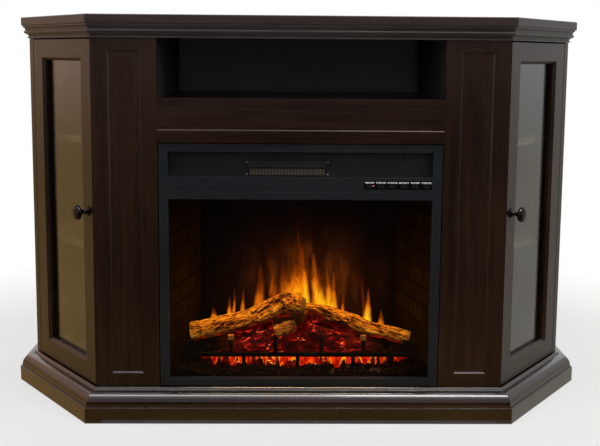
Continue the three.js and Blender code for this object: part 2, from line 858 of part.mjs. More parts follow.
function buildCasing() {
  const shell = cut(
    box(-casingHalf, casingHalf, casingFront, casingBack, cabinetFloor + FIT, casingTop),
    box(-casingInner, casingInner, casingFront - 1, casingBack - sheet, fireFloor, casingTop - sheet),
  );
  const deck = box(-casingHalf + 1, casingHalf - 1, casingFront, casingBack - 1, deckBottom, deckTop);
  const post = (x, y, foot, axis) =>
    box(x, x + postThick, y - postHalfWidth, y + postHalfWidth, foot - 1, axis + postHead);
  const blowerPost = post(blowerPostX, wheelY, deckTop, wheelZ);
  const rotorPost = post(rotorPostX, rotorY, fireFloor, rotorZ);
  const bearing = (x, y, z) => rodX(shaftRadius + shaftPlay, x - 1, x + postThick + 1, y, z, 16);
  const intake = Array.from({ length: intakeCount }, (_, i) => {
    const x = outletCentre + (i - (intakeCount - 1) / 2) * intakePitch;
    return box(
      x - intakeWidth / 2, x + intakeWidth / 2,
      casingBack - sheet - 1, casingBack + 1,
      deckTop + intakeLift, casingTop - intakeDrop,
    );
  });
  const glandHole = new THREE.CylinderGeometry(glandRadius + FIT, glandRadius + FIT, sheet + 2, 24)
    .translate(glandX, casingBack - sheet / 2, glandZ);
  const body = join(shell, deck, blowerPost, rotorPost);
  add(fireplace, 'insert_casing',
    cut(body, bearing(blowerPostX, wheelY, wheelZ), bearing(rotorPostX, rotorY, rotorZ),
      ...intake, glandHole),
    blackSteel);

  const gland = [
    [0, 0],
    [glandRadius, 0],
    [glandRadius, sheet + 3 + FIT],
    [glandRadius + glandFlange, sheet + 3 + FIT],
    [glandRadius + glandFlange, sheet + 6],
    [glandRadius + 1, sheet + 7],
    [glandRadius * 0.7, sheet + glandReach],
    [0, sheet + glandReach],
  ];
  add(fireplace, 'cord_gland',
    turned(gland, 20).rotateX(-Math.PI / 2).translate(glandX, casingBack - sheet - 3, glandZ), blackPlastic);
}

/** Recessed plate behind the bezel's upper window, with a hooded outlet of upright slots. */
function buildOutlet() {
  const front = casingFront;
  const plate = box(
    -casingInner + FIT, casingInner - FIT,
    front, front + sheet,
    deckTop + FIT, casingTop - sheet - FIT,
  );
  const x0 = outletCentre - outletWidth / 2;
  const z0 = recessBottom + 3;
  const hoodFoot = z0 + outletHeight * 0.55;
  const hood = box(x0 - 3, x0 + outletWidth + 3, front - outletHood, front + 1, hoodFoot, z0 + outletHeight);
  const hoodHollow = box(x0, x0 + outletWidth, front - outletHood + 1.5, front + sheet + 1,
    hoodFoot - 1, z0 + outletHeight - 2);
  const pitch = outletWidth / outletSlotCount;
  const slots = Array.from({ length: outletSlotCount }, (_, i) => box(
    x0 + i * pitch + outletBar / 2, x0 + (i + 1) * pitch - outletBar / 2,
    front - 1, front + sheet + 1,
    z0, hoodFoot - 3,
  ));
  add(fireplace, 'outlet_grille', cut(join(plate, hood), hoodHollow, ...slots), blackSteel);
}

function buildHeater() {
  const front = casingFront + sheet + 4;
  const x0 = outletCentre - outletWidth / 2;
  const x1 = outletCentre + outletWidth / 2;
  const foot = deckTop + FIT;
  const head = recessBottom + outletHeight + 8;
  const frame = cut(
    box(x0 - 2, x1 + 2, front, front + heaterDepth, foot, head),
    box(x0 + 4, x1 - 4, front - 1, front + heaterDepth + 1, foot + 22, head - 3),
  );
  const pitch = (outletWidth - 8) / heaterFinCount;
  const fins = Array.from({ length: heaterFinCount - 1 }, (_, i) => {
    const x = x0 + 4 + (i + 1) * pitch;
    return box(x - 0.5, x + 0.5, front + 2, front + heaterDepth - 2, foot + 21, head - 2);
  });
  add(fireplace, 'heater_element', join(frame, ...fins), aluminium);
}

/** Cross-flow fan: forward-curved blades between end discs and a middle disc, on stub shafts. */
function buildBlower() {
  const disc = (x) => rodX(wheelRadius, x - wheelDiscThick / 2, x + wheelDiscThick / 2, 0, 0, 28);
  const bladeInner = wheelRadius * 0.76;
  const bladeOuter = wheelRadius * 0.985;
  const steps = 3;
  const edge = (face) => Array.from({ length: steps + 1 }, (_, k) => {
    const t = k / steps;
    const radius = bladeInner + (bladeOuter - bladeInner) * t;
    const sweep = 0.3 * t * t + (face * wheelBladeThick) / (2 * radius);
    return [radius * Math.cos(sweep), radius * Math.sin(sweep)];
  });
  const section = [...edge(-1), ...edge(1).reverse()];
  const bladeLength = wheelLength - wheelDiscThick;
  const blade = prism(section, -bladeLength / 2, bladeLength / 2).rotateY(Math.PI / 2);
  const blades = Array.from({ length: wheelBladeCount }, (_, i) =>
    blade.clone().rotateX((2 * Math.PI * i) / wheelBladeCount));
  const half = (wheelLength - wheelDiscThick) / 2;
  const leftStub = rodX(shaftRadius, -half - stubLength, -half, 0, 0, 16);
  const rightStub = rodX(shaftRadius, half, half + 5, 0, 0, 16);
  const wheel = join(disc(-half), disc(0), disc(half), leftStub, rightStub, ...blades)
    .translate(outletCentre, wheelY, wheelZ);
  add(fireplace, 'blower_wheel', wheel, aluminium);

  const motorLeft = outletCentre + half + 5 + FIT;
  const can = rodX(blowerMotorRadius, motorLeft + 6, motorLeft + 6 + blowerMotorLength, wheelY, wheelZ, 28);
  const boss = rodX(shaftRadius * 3, motorLeft, motorLeft + 7, wheelY, wheelZ, 20);
  const bracketX = motorLeft + 6 + blowerMotorLength / 2;
  const bracket = box(bracketX - 3, bracketX + 3, wheelY - 20, wheelY + 20, deckTop + FIT, wheelZ);
  add(fireplace, 'blower_motor', join(can, boss, bracket), zincSteel);
}

// ---------------------------------------------------------------- insert: firebox and fire

/** Splayed side sheets with running-bond brick courses, joined by a flat crown sheet. */
function buildLiner() {
  const y0 = paneBack + FIT;
  const y1 = screenY + screenThick;
  const foot = fireFloor + FIT;
  const head = deckBottom - 6;
  const wall = prism([
    [linerHalf(y0), y0],
    [linerHalf(y0) + linerThick, y0],
    [linerHalf(y1) + linerThick, y1],
    [linerHalf(y1), y1],
  ], foot, head);
  const roof = prism([
    [-linerHalf(y0) - linerThick / 2, y0],
    [linerHalf(y0) + linerThick / 2, y0],
    [linerHalf(y1) + linerThick / 2, y1],
    [-linerHalf(y1) - linerThick / 2, y1],
  ], head - sheet, head);
  const splay = Math.atan2(linerHalf(y0) - linerHalf(y1), y1 - y0);
  const run = (y1 - y0) / Math.cos(splay);
  const joints = [];
  const courses = Math.floor((head - sheet - foot - mortarWidth) / brickHeight);
  const onWall = (geometry) => geometry.rotateZ(splay).translate(linerHalf(y0), y0, 0);
  for (let course = 1; course <= courses; course += 1) {
    const z = foot + course * brickHeight;
    joints.push(onWall(box(-1, mortarDepth, -1, run + 1, z - mortarWidth / 2, z + mortarWidth / 2)));
    const offset = (course % 2) * brickLength * 0.5 + brickLength * 0.3;
    for (let y = offset; y < run - mortarWidth; y += brickLength) {
      const start = course === 1 ? foot - 1 : z - brickHeight;
      joints.push(onWall(box(-1, mortarDepth, y, y + mortarWidth, start, z)));
    }
  }
  const right = cut(wall, ...joints);
  add(fireplace, 'firebox_liner', join(right, mirrored(right), roof), brick);
  const screenHalf = linerHalf(screenY + screenThick) - FIT;
  add(fireplace, 'flame_screen',
    box(-screenHalf, screenHalf, screenY, screenY + screenThick, foot, head - sheet - FIT), smokedScreen);
  const paneHalf = casingInner - FIT;
  add(fireplace, 'viewing_glass',
    box(-paneHalf, paneHalf, casingFront, paneBack, fireFloor + FIT, paneTop), clearGlass);
}

/** A log skinned along a curve, with a wavering, ribbed section. */
function logBody({ path, radii, seed }, grow = 0, ringCount = 15, sides = 14) {
  const curve = new THREE.CatmullRomCurve3(path.map((p) => new THREE.Vector3(...p)));
  const rings = [];
  for (let i = 0; i < ringCount; i += 1) {
    const t = i / (ringCount - 1);
    const centre = curve.getPoint(t);
    const tangent = curve.getTangent(t);
    const up = new THREE.Vector3(0, 0, 1).addScaledVector(tangent, -tangent.z).normalize();
    const across = new THREE.Vector3().crossVectors(tangent, up);
    const blend = t * (radii.length - 1);
    const first = Math.min(Math.floor(blend), radii.length - 2);
    const base = THREE.MathUtils.lerp(radii[first], radii[first + 1], blend - first);
    rings.push(Array.from({ length: sides }, (_, k) => {
      const angle = (2 * Math.PI * k) / sides;
      const bark = 0.05 * Math.sin(3 * angle + seed + 4 * t) + 0.04 * Math.sin(5 * angle + 2 * seed - 9 * t)
        + 0.035 * Math.sin(23 * t + seed);
      const radius = base * (1 + bark) + grow;
      return centre.clone()
        .addScaledVector(up, radius * Math.sin(angle))
        .addScaledVector(across, radius * Math.cos(angle));
    }));
  }
  const cap = Array.from({ length: sides }, (_, k) => {
    const angle = (2 * Math.PI * k) / sides;
    return new THREE.Vector2(Math.cos(angle), Math.sin(angle));
  });
  return loft(rings, cap);
}

const logY = bedFrontY + logSetback;
// each log: points on its axis, radii along it, and the seed of its bark
const leftLog = {
  path: [[-232, logY + 4, 150], [-112, logY, 177], [-30, logY - 3, 214], [12, logY - 5, 216]],
  radii: [17, 20, 23, 20],
  seed: 1.3,
};
const rightLog = {
  path: [[22, logY + 24, 199], [75, logY + 18, 190], [150, logY + 8, 163], [238, logY, 138]],
  radii: [15, 17, 17, 14],
  seed: 4.1,
};
const charredRings = 7;
const charredSides = 9;
const charredLogs = [
  {
    path: [[-165, logY - 16, 116], [-90, logY - 12, 134], [-20, logY - 6, 162]],
    radii: [15, 16, 13],
    seed: 2.2,
  },
  {
    path: [[-60, logY + 16, 110], [20, logY + 8, 150], [40, logY + 6, 190]],
    radii: [19, 20, 17],
    seed: 0.7,
  },
  {
    path: [[20, logY - 14, 158], [100, logY - 10, 134], [176, logY - 14, 112]],
    radii: [15, 17, 14],
    seed: 3.6,
  },
  {
    path: [[60, logY + 20, 176], [130, logY + 16, 140], [196, logY + 14, 118]],
    radii: [15, 17, 14],
    seed: 5.2,
  },
  {
    path: [[-210, logY + 10, 108], [-140, logY + 12, 134], [-60, logY + 14, 172]],
    radii: [16, 19, 17],
    seed: 6.0,
  },
];

/** Moulded bed of coals with charred logs under the two main ones. */
function emberBed() {
  const columns = 28;
  const rows = 7;
  const foot = fireFloor + FIT;
  const lumpHeight = (i, j) =>
    bedLump * (0.6 * Math.sin(i * 1.9 + j * 2.3) + 0.4 * Math.sin(i * 3.1 - j * 1.7));
  const at = (i, j) => {
    const y = bedFrontY + (bedDepth * j) / rows;
    const x = (linerHalf(y) - 1) * ((2 * i) / columns - 1);
    const rise = Math.sin(Math.min(1, (j / rows) * 1.6) * Math.PI / 2);
    const border = i === 0 || i === columns ? 0.4 : 1;
    const height = bedEdge + (bedCrest - bedEdge) * rise + lumpHeight(i, j);
    return new THREE.Vector3(x, y, foot + height * border);
  };
  const top = [];
  for (let j = 0; j <= rows; j += 1) for (let i = 0; i <= columns; i += 1) top.push(at(i, j));
  const positions = top.flatMap((p) => [p.x, p.y, p.z]);
  top.forEach((p) => positions.push(p.x, p.y, foot));
  const across = columns + 1;
  const count = top.length;
  const index = [];
  for (let j = 0; j < rows; j += 1) {
    for (let i = 0; i < columns; i += 1) {
      const a = j * across + i;
      index.push(a, a + 1, a + across + 1, a, a + across + 1, a + across);
      index.push(count + a, count + a + across + 1, count + a + 1);
      index.push(count + a, count + a + across, count + a + across + 1);
    }
  }
  const wallStrip = (from, to) => index.push(from, to, count + to, from, count + to, count + from);
  for (let i = 0; i < columns; i += 1) {
    wallStrip(i + 1, i);
    wallStrip(rows * across + i, rows * across + i + 1);
  }
  for (let j = 0; j < rows; j += 1) {
    wallStrip(j * across, (j + 1) * across);
    wallStrip((j + 1) * across + columns, j * across + columns);
  }
  const bed = new THREE.BufferGeometry();
  bed.setAttribute('position', new THREE.Float32BufferAttribute(positions, 3));
  bed.setIndex(index);
  return facingOut(bed);
}

function grate() {
  const foot = fireFloor + FIT;
  const top = fireFloor + grateHeight;
  const bars = [box(-grateHalf, grateHalf, grateY, grateY + grateBar, top - grateBar, top)];
  const upright = (share, z0, z1) => {
    const x = grateHalf * share;
    return box(x - grateBar / 2, x + grateBar / 2, grateY + 0.5, grateY + grateBar - 0.5, z0, z1);
  };
  grateLegs.forEach((share) => bars.push(upright(share, foot, top - 1)));
  grateFingers.forEach(([share, hasTip]) => {
    const x = grateHalf * share;
    bars.push(upright(share, top - 1, top + grateFinger));
    if (hasTip) {
      bars.push(box(x - tipHalf, x + tipHalf, grateY - 1, grateY + grateBar + 1,
        top + grateFinger - 6, top + grateFinger + 4));
    }
  });
  [-1, 1].forEach((side) => {
    const x = side * (grateHalf - gratePostInset);
    bars.push(box(x - postHalf, x + postHalf, grateY - 0.5, grateY + grateBar + 6, top - grateBar, top + 24));
  });
  return join(...bars);
}

function buildFire() {
  add(fireplace, 'log_left', logBody(leftLog), bark);
  add(fireplace, 'log_right', logBody(rightLog), bark);
  const charred = charredLogs.map((piece) => logBody(piece, 0, charredRings, charredSides));
  const clearance = [logBody(leftLog, FIT), logBody(rightLog, FIT)];
  const top = fireFloor + grateHeight;
  const grateRoom = box(
    -grateHalf - 1, grateHalf + 1,
    grateY - 2, grateY + grateBar + FIT,
    top - grateBar - FIT, top + grateHeadroom,
  );
  const legRoom = grateLegs.map((share) => box(
    grateHalf * share - grateBar / 2 - FIT, grateHalf * share + grateBar / 2 + FIT,
    grateY - FIT + 0.5, grateY + grateBar + FIT - 0.5,
    fireFloor - 1, top,
  ));
  const endRoom = [-1, 1].map((side) => box(
    side * (grateHalf - gratePostInset) - postHalf - 1, side * (grateHalf - gratePostInset) + postHalf + 1,
    grateY - 2, grateY + grateBar + 6 + FIT,
    top - grateBar - FIT, top + grateHeadroom,
  ));
  const bed = cut(join(emberBed(), ...charred), ...clearance, grateRoom, ...legRoom, ...endRoom);
  add(fireplace, 'ember_bed', largest(bed), coal);
  add(fireplace, 'grate', grate(), ironGrate);
}

/** The largest of a geometry's separate bodies. */
function largest(geometry) {
  const bodies = solidOf(geometry).decompose();
  return geometryOf(bodies.reduce((best, body) => (body.volume() > best.volume() ? body : best)));
}

/** Flame rotor: a rod with a spiral of small mirror tabs that throws light on the screen. */
function buildRotor() {
  const rod = rodX(shaftRadius, rotorPostX + 1, rotorHalf, 0, 0, 16);
  const tabs = Array.from({ length: rotorTabCount }, (_, i) => {
    const x = -rotorHalf + 14 + ((2 * rotorHalf - 28) * i) / (rotorTabCount - 1);
    return box(x - rotorTabWidth / 2, x + rotorTabWidth / 2,
      -rotorTabThick / 2, rotorTabThick / 2, 0, rotorRadius)
      .rotateX((i * 100 * Math.PI) / 180);
  });
  add(fireplace, 'flame_rotor', join(rod, ...tabs).translate(0, rotorY, rotorZ), aluminium);
  const motorLeft = rotorHalf + FIT;
  const can = rodX(rotorMotorRadius, motorLeft + 4, motorLeft + 4 + rotorMotorLength, rotorY, rotorZ, 24);
  const boss = rodX(shaftRadius * 2, motorLeft, motorLeft + 5, rotorY, rotorZ, 16);
  const bracketX = motorLeft + 4 + rotorMotorLength / 2;
  const bracket = box(bracketX - 2, bracketX + 2, rotorY - 13, rotorY + 13, fireFloor + FIT, rotorZ);
  add(fireplace, 'rotor_motor', join(can, boss, bracket), zincSteel);
}

buildSlab();
buildMouldings();
buildPilasters();
buildCarcass();
buildBack();
buildShelves();
buildDoors();
buildCasing();
buildBezel();
buildControls();
buildOutlet();
buildHeater();
buildBlower();
buildLiner();
buildFire();
buildRotor();

fireplace.position.y = (baseReach - carcassDepth) / 2;
fireplace.updateMatrixWorld(true);

export default fireplace;
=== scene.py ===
"""Looks for a corner media cabinet with an electric fire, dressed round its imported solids.

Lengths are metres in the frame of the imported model: +X right, +Y to the back, +Z up. Places that
at() turns into that frame are in millimetres.
"""

import logging
import math
from dataclasses import dataclass, field, replace
from enum import Enum
from typing import Any

import bpy
import numpy as np
from bpy.types import Material, Mesh, Node, NodeSocket, NodeTree, Object
from mathutils import Matrix, Vector, noise


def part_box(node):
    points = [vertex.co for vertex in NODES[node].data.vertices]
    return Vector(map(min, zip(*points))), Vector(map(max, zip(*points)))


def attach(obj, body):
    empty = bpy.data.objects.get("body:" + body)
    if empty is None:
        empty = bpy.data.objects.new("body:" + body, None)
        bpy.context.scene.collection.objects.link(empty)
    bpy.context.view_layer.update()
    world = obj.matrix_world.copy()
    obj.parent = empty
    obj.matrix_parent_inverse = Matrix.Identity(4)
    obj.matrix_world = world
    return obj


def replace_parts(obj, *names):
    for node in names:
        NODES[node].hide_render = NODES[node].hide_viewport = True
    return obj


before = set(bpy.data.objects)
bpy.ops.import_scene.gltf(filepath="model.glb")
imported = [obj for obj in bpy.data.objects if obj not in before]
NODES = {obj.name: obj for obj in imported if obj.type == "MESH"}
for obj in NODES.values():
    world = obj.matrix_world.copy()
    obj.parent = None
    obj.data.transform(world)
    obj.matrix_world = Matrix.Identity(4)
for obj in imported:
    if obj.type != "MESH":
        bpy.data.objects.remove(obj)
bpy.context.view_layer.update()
LOG = logging.getLogger("fireplace")

MM = 0.001
FACE_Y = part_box("pilaster_right")[0].y      # the plane of the pilasters' front faces
CHAMFER = math.radians(50)
ALONG = Vector((math.cos(CHAMFER), math.sin(CHAMFER), 0))

Colour = tuple[float, float, float]
Pair = tuple[float, float]
Faces = list[tuple[int, ...]]


def at(x: float, y: float, z: float) -> Vector:
    """A point given in millimetres, with y counted from the pilasters' front faces."""
    return Vector((x * MM, FACE_Y + y * MM, z * MM))


def span_of(node: str, direction: Vector) -> Pair:
    """How far a CAD node reaches along a direction.

    Args:
        node: the node's name.
        direction: a unit vector.

    Returns:
        The lowest and highest distance of its corners along the direction.
    """
    reach = [corner.co.dot(direction) for corner in NODES[node].data.vertices]
    return min(reach), max(reach)


# ---------------------------------------------------------------- node trees


class Tree:
    """Short-hand for adding and joining the nodes of one tree."""

    def __init__(self, tree: NodeTree) -> None:
        """Keeps the tree to build in."""
        self.tree = tree

    def feed(self, socket: NodeSocket, value: Any) -> None:
        """Links a socket into an input, or sets the input's own value."""
        if isinstance(value, NodeSocket):
            self.tree.links.new(value, socket)
        elif socket.type == "RGBA" and len(value) == 3:
            socket.default_value = (*value, 1.0)
        else:
            socket.default_value = value

    def fill(self, node: Node, feeds: dict[Any, Any]) -> None:
        """Feeds several inputs of a node, by their names or numbers."""
        for key, value in feeds.items():
            self.feed(node.inputs[key], value)

    def add(self, kind: str, feeds: dict[Any, Any] | None = None, **settings: Any) -> Node:
        """Adds a node.

        Args:
            kind: the node's type.
            feeds: a link or a value for each input, by the input's name or number.
            **settings: the node's own properties.

        Returns:
            The new node.
        """
        node = self.tree.nodes.new(kind)
        for name, value in settings.items():
            setattr(node, name, value)
        self.fill(node, feeds or {})
        return node

    def out(self, kind: str, feeds: dict[Any, Any] | None = None, **settings: Any) -> NodeSocket:
        """The first output of a new node."""
        return self.add(kind, feeds, **settings).outputs[0]

    def math(self, operation: str, first: Any, second: Any = 0.0, clamp: bool = False) -> NodeSocket:
        """The result of a Math node."""
        return self.out("ShaderNodeMath", {0: first, 1: second}, operation=operation, use_clamp=clamp)

    def times(self, first: Any, *factors: Any) -> NodeSocket:
        """The product of two or more values."""
        for factor in factors:
            first = self.math("MULTIPLY", first, factor)
        return first

    def plus(self, first: Any, second: Any, clamp: bool = False) -> NodeSocket:
        """The sum of two values."""
        return self.math("ADD", first, second, clamp)

    def minus(self, first: Any, second: Any, clamp: bool = False) -> NodeSocket:
        """The first value less the second."""
        return self.math("SUBTRACT", first, second, clamp)

    def off_pair(self, value: Any, first: float, second: float) -> NodeSocket:
        """Distance to the nearer of two lines."""
        distances = [self.math("ABSOLUTE", self.minus(value, line)) for line in (first, second)]
        return self.math("MINIMUM", *distances)

    def layer(self, name: str, output: str = "Fac") -> NodeSocket:
        """What the mesh carries under a name."""
        return self.add("ShaderNodeAttribute", attribute_name=name).outputs[output]

    def seen(self) -> NodeSocket:
        """1 where the camera looks, in gloss and through glass too, and 0 once light went off matt paint."""
        rays = self.add("ShaderNodeLightPath").outputs
        clear = self.math("MAXIMUM", rays["Is Glossy Ray"], rays["Is Transmission Ray"])
        clear = self.math("MAXIMUM", rays["Is Camera Ray"], clear)
        return self.times(clear, self.math("LESS_THAN", rays["Diffuse Depth"], 0.5))

    def vector(self, operation: str, first: Any, second: Any) -> NodeSocket:
        """The vector result of a Vector Math node, or its value for a dot product."""
        node = self.add("ShaderNodeVectorMath", {0: first, 1: second}, operation=operation)
        return node.outputs["Value" if operation == "DOT_PRODUCT" else "Vector"]

    def noise(self, vector: Any, scale: float, detail: float = 3.0, roughness: float = 0.5,
              distortion: float = 0.0) -> NodeSocket:
        """The value of a Noise Texture node."""
        feeds = {"Vector": vector, "Scale": scale, "Detail": detail, "Roughness": roughness,
                 "Distortion": distortion}
        return self.add("ShaderNodeTexNoise", feeds).outputs[0]

    def span(self, value: Any, low: float, high: float, to_low: float = 0.0,
             to_high: float = 1.0, smooth: bool = True) -> NodeSocket:
        """A value mapped from one range to another and held inside it."""
        node = self.add("ShaderNodeMapRange", {0: value, 1: low, 2: high, 3: to_low, 4: to_high},
                        interpolation_type="SMOOTHSTEP" if smooth else "LINEAR")
        return node.outputs[0]

    def mix(self, factor: Any, first: Any, second: Any, blend: str = "MIX") -> NodeSocket:
        """Two colours mixed."""
        node = self.add("ShaderNodeMix", data_type="RGBA", blend_type=blend)
        self.fill(node, {0: factor, 6: first, 7: second})
        return node.outputs[2]

    def ramp(self, value: Any, stops: list[tuple[float, Colour]]) -> NodeSocket:
        """A colour read from a ramp of (place, colour) stops."""
        node = self.add("ShaderNodeValToRGB", {0: value})
        elements = node.color_ramp.elements
        elements[0].position, elements[0].color = stops[0][0], (*stops[0][1], 1)
        elements[1].position, elements[1].color = stops[-1][0], (*stops[-1][1], 1)
        for place, colour in stops[1:-1]:
            elements.new(place).color = (*colour, 1)
        return node.outputs[0]

    def parts(self, vector: Any) -> list[NodeSocket]:
        """The X, Y and Z of a vector."""
        return list(self.add("ShaderNodeSeparateXYZ", {0: vector}).outputs)

    def place(self, turn_z: float = 0.0) -> NodeSocket:
        """Object coordinates, turned about Z so that a slanted board lies along X."""
        source = self.add("ShaderNodeTexCoord").outputs["Object"]
        if not turn_z:
            return source
        return self.add("ShaderNodeMapping", {"Vector": source, "Rotation": (0, 0, -turn_z)}).outputs[0]

    def bump(self, height: Any, strength: float, distance: float, normal: Any = None) -> NodeSocket:
        """A Bump node's normal."""
        feeds = {"Height": height, "Strength": strength, "Distance": distance}
        if normal is not None:
            feeds["Normal"] = normal
        return self.add("ShaderNodeBump", feeds).outputs[0]


class ShaderGroup(Tree):
    """A shader node group with named inputs and outputs, shared by several finishes."""

    def __init__(self, name: str, inputs: dict[str, tuple[str, Any]], outputs: dict[str, str]) -> None:
        """Makes the group's sockets.

        Args:
            name: the group's name.
            inputs: each input's kind and value, by name.
            outputs: each output's kind, by name.
        """
        group = bpy.data.node_groups.new(name, "ShaderNodeTree")
        for label, (kind, value) in inputs.items():
            socket = group.interface.new_socket(label, in_out="INPUT", socket_type=f"NodeSocket{kind}")
            socket.default_value = (*value, 1) if kind == "Color" else value
        for label, kind in outputs.items():
            group.interface.new_socket(label, in_out="OUTPUT", socket_type=f"NodeSocket{kind}")
        super().__init__(group)
        self.given = self.add("NodeGroupInput").outputs
        self.sink = self.add("NodeGroupOutput").inputs

    def give(self, **values: NodeSocket) -> None:
        """Links what the group puts out."""
        for label, value in values.items():
            self.tree.links.new(value, self.sink[label])

    def put(self, into: Tree, **values: Any) -> Node:
        """Places the group in a material with its own values; an underscore stands for a space."""
        feeds = {label.replace("_", " "): value for label, value in values.items()}
        return into.add("ShaderNodeGroup", feeds, node_tree=self.tree)


def stained_grain() -> ShaderGroup:
    """Fine straight grain under a dark stain: figure, pores and clouding."""
    group = ShaderGroup(
        "stained_grain",
        {"Vector": ("Vector", (0, 0, 0)), "Stretch": ("Vector", (1, 1, 0.06)),
         "Ground": ("Color", (0.02, 0.01, 0.008)), "Figure": ("Color", (0.04, 0.02, 0.015)),
         "Gloss": ("Float", 0.34)},
        {"Color": "Color", "Roughness": "Float", "Height": "Float"})
    drawn = group.vector("MULTIPLY", group.given["Vector"], group.given["Stretch"])
    figure = group.noise(drawn, 70, 5, 0.62, 0.6)
    pores = group.noise(drawn, 620, 2, 0.5)
    cloud = group.noise(group.given["Vector"], 4.5, 3, 0.55)
    amount = group.plus(group.times(figure, 0.7), group.times(cloud, 0.5))
    stain = group.mix(group.span(amount, 0.42, 0.82), group.given["Ground"], group.given["Figure"])
    pore = group.span(pores, 0.56, 0.72)
    dark = group.mix(group.times(pore, 0.45), stain, (0.004, 0.003, 0.002))
    rough = group.plus(group.given["Gloss"], group.times(cloud, 0.1))
    rough = group.plus(rough, group.times(pore, 0.12))
    height = group.minus(group.times(figure, 0.35), pore)
    group.give(Color=dark, Roughness=rough, Height=height)
    return group


def rubbed_edge() -> ShaderGroup:
    """Stain rubbed thin along edges, with a painted highlight there, from how far the rounded normal leans
    from the true one.
    """
    group = ShaderGroup(
        "rubbed_edge",
        {"Color": ("Color", (0.02, 0.01, 0.01)), "Bare": ("Color", (0.1, 0.06, 0.04)),
         "Rounded": ("Vector", (0, 0, 1)), "True normal": ("Vector", (0, 0, 1)),
         "Vector": ("Vector", (0, 0, 0)), "Amount": ("Float", 0.6)},
        {"Color": "Color"})
    lean = group.minus(1.0, group.vector("DOT_PRODUCT", group.given["Rounded"], group.given["True normal"]))
    patch = group.span(group.noise(group.given["Vector"], 38, 3), 0.3, 0.62, 0.35, 1)
    worn_and_lit = group.times(group.span(lean, 0.01, 0.2), patch)
    mask = group.times(worn_and_lit, group.given["Amount"])
    # The same mask gives rubbed stain and a painted highlight on edges.
    group.give(Color=group.mix(mask, group.given["Color"], group.given["Bare"]))
    return group


def sprayed_skin() -> ShaderGroup:
    """Orange peel and faint dust of a sprayed or moulded skin."""
    group = ShaderGroup(
        "sprayed_skin",
        {"Vector": ("Vector", (0, 0, 0)), "Ground": ("Color", (0.02, 0.02, 0.02)),
         "Dust": ("Color", (0.05, 0.05, 0.05)), "Grain": ("Float", 900.0), "Gloss": ("Float", 0.4)},
        {"Color": "Color", "Roughness": "Float", "Height": "Float"})
    peel = group.noise(group.given["Vector"], group.given["Grain"], 2)
    cloud = group.noise(group.given["Vector"], 9, 4, 0.6)
    mottled = group.plus(group.times(peel, 0.4), group.times(cloud, 0.6))
    colour = group.mix(group.span(mottled, 0.4, 0.72), group.given["Ground"], group.given["Dust"])
    rough = group.plus(group.given["Gloss"], group.times(cloud, 0.14))
    group.give(Color=colour, Roughness=rough, Height=peel)
    return group


def ember_heat() -> ShaderGroup:
    """Heat inside char: crimson streaks and patches, with orange in the hottest specks."""
    group = ShaderGroup(
        "ember_heat",
        {"Vector": ("Vector", (0, 0, 0)), "Stretch": ("Vector", (0.4, 1, 1)), "Size": ("Float", 100.0),
         "Heat": ("Float", 0.5)},
        {"Emission": "Color", "Crust": "Float"})
    given = group.given
    drawn = group.vector("MULTIPLY", given["Vector"], given["Stretch"])
    streak = group.noise(drawn, given["Size"], 3, 0.55, 0.8)
    specks = group.noise(given["Vector"], group.times(given["Size"], 2.3), 2)
    patch = group.span(group.noise(given["Vector"], 24, 3, 0.55, 0.4), 0.42, 0.6)
    lines = group.span(streak, 0.49, 0.68)
    hot = group.times(group.span(specks, 0.5, 0.68), lines)
    amount = group.plus(group.times(lines, 0.62), group.times(hot, 0.5))
    heat = group.times(amount, patch, given["Heat"])
    colour = group.ramp(heat, [
        (0.0, (0, 0, 0)), (0.2, (0.035, 0.0006, 0.0006)), (0.48, (0.36, 0.005, 0.005)),
        (0.72, (0.92, 0.035, 0.008)), (0.88, (1.0, 0.24, 0.02)), (1.0, (1.0, 0.6, 0.1))])
    group.give(Emission=colour, Crust=group.minus(1.0, lines))
    return group


GRAIN = stained_grain()
EDGE = rubbed_edge()
SKIN = sprayed_skin()
EMBER = ember_heat()


# ---------------------------------------------------------------- finishes


class Run(Enum):
    """Which way a board's grain runs, as the stretch of its pattern."""

    UP = (1.0, 1.0, 0.06)
    ACROSS = (0.06, 1.0, 1.0)
    BACK = (1.0, 0.06, 1.0)


def edge_tint(tree: Tree, colour: Any, wear_and_highlight_colour: Colour, place: Any, radius: float,
              amount: float) -> tuple[NodeSocket, NodeSocket]:
    """Shows a second colour along edges: rubbed stain, and a painted highlight.

    Args:
        tree: the material's tree.
        colour: the colour away from edges.
        wear_and_highlight_colour: the colour on edges.
        place: where the pattern is read.
        radius: how far an edge reaches.
        amount: how much of the second colour shows.

    Returns:
        The colour, and the normal rounded at edges.
    """
    rounded = tree.add("ShaderNodeBevel", {"Radius": radius}, samples=4).outputs[0]
    true = tree.add("ShaderNodeNewGeometry").outputs["True Normal"]
    worn_and_lit = EDGE.put(tree, Color=colour, Bare=wear_and_highlight_colour, Rounded=rounded, True_normal=true, Vector=place,
                    Amount=amount)
    return worn_and_lit.outputs["Color"], rounded


@dataclass(frozen=True)
class Finish:
    """A named surface; each kind says what goes into its Principled node."""

    name: str

    def inputs(self, tree: Tree) -> dict[str, Any]:
        """A link or a value for inputs of the Principled node, by name."""
        raise NotImplementedError

    def shader(self, tree: Tree, surface: NodeSocket) -> NodeSocket:
        """What the material puts out: the Principled surface by itself."""
        return surface

    def make(self) -> Material:
        """Builds the material."""
        material = bpy.data.materials.new(self.name)
        material.use_nodes = True
        material.node_tree.nodes.clear()
        tree = Tree(material.node_tree)
        surface = tree.add("ShaderNodeBsdfPrincipled")
        tree.fill(surface, self.inputs(tree))
        tree.add("ShaderNodeOutputMaterial", {"Surface": self.shader(tree, surface.outputs[0])})
        return material


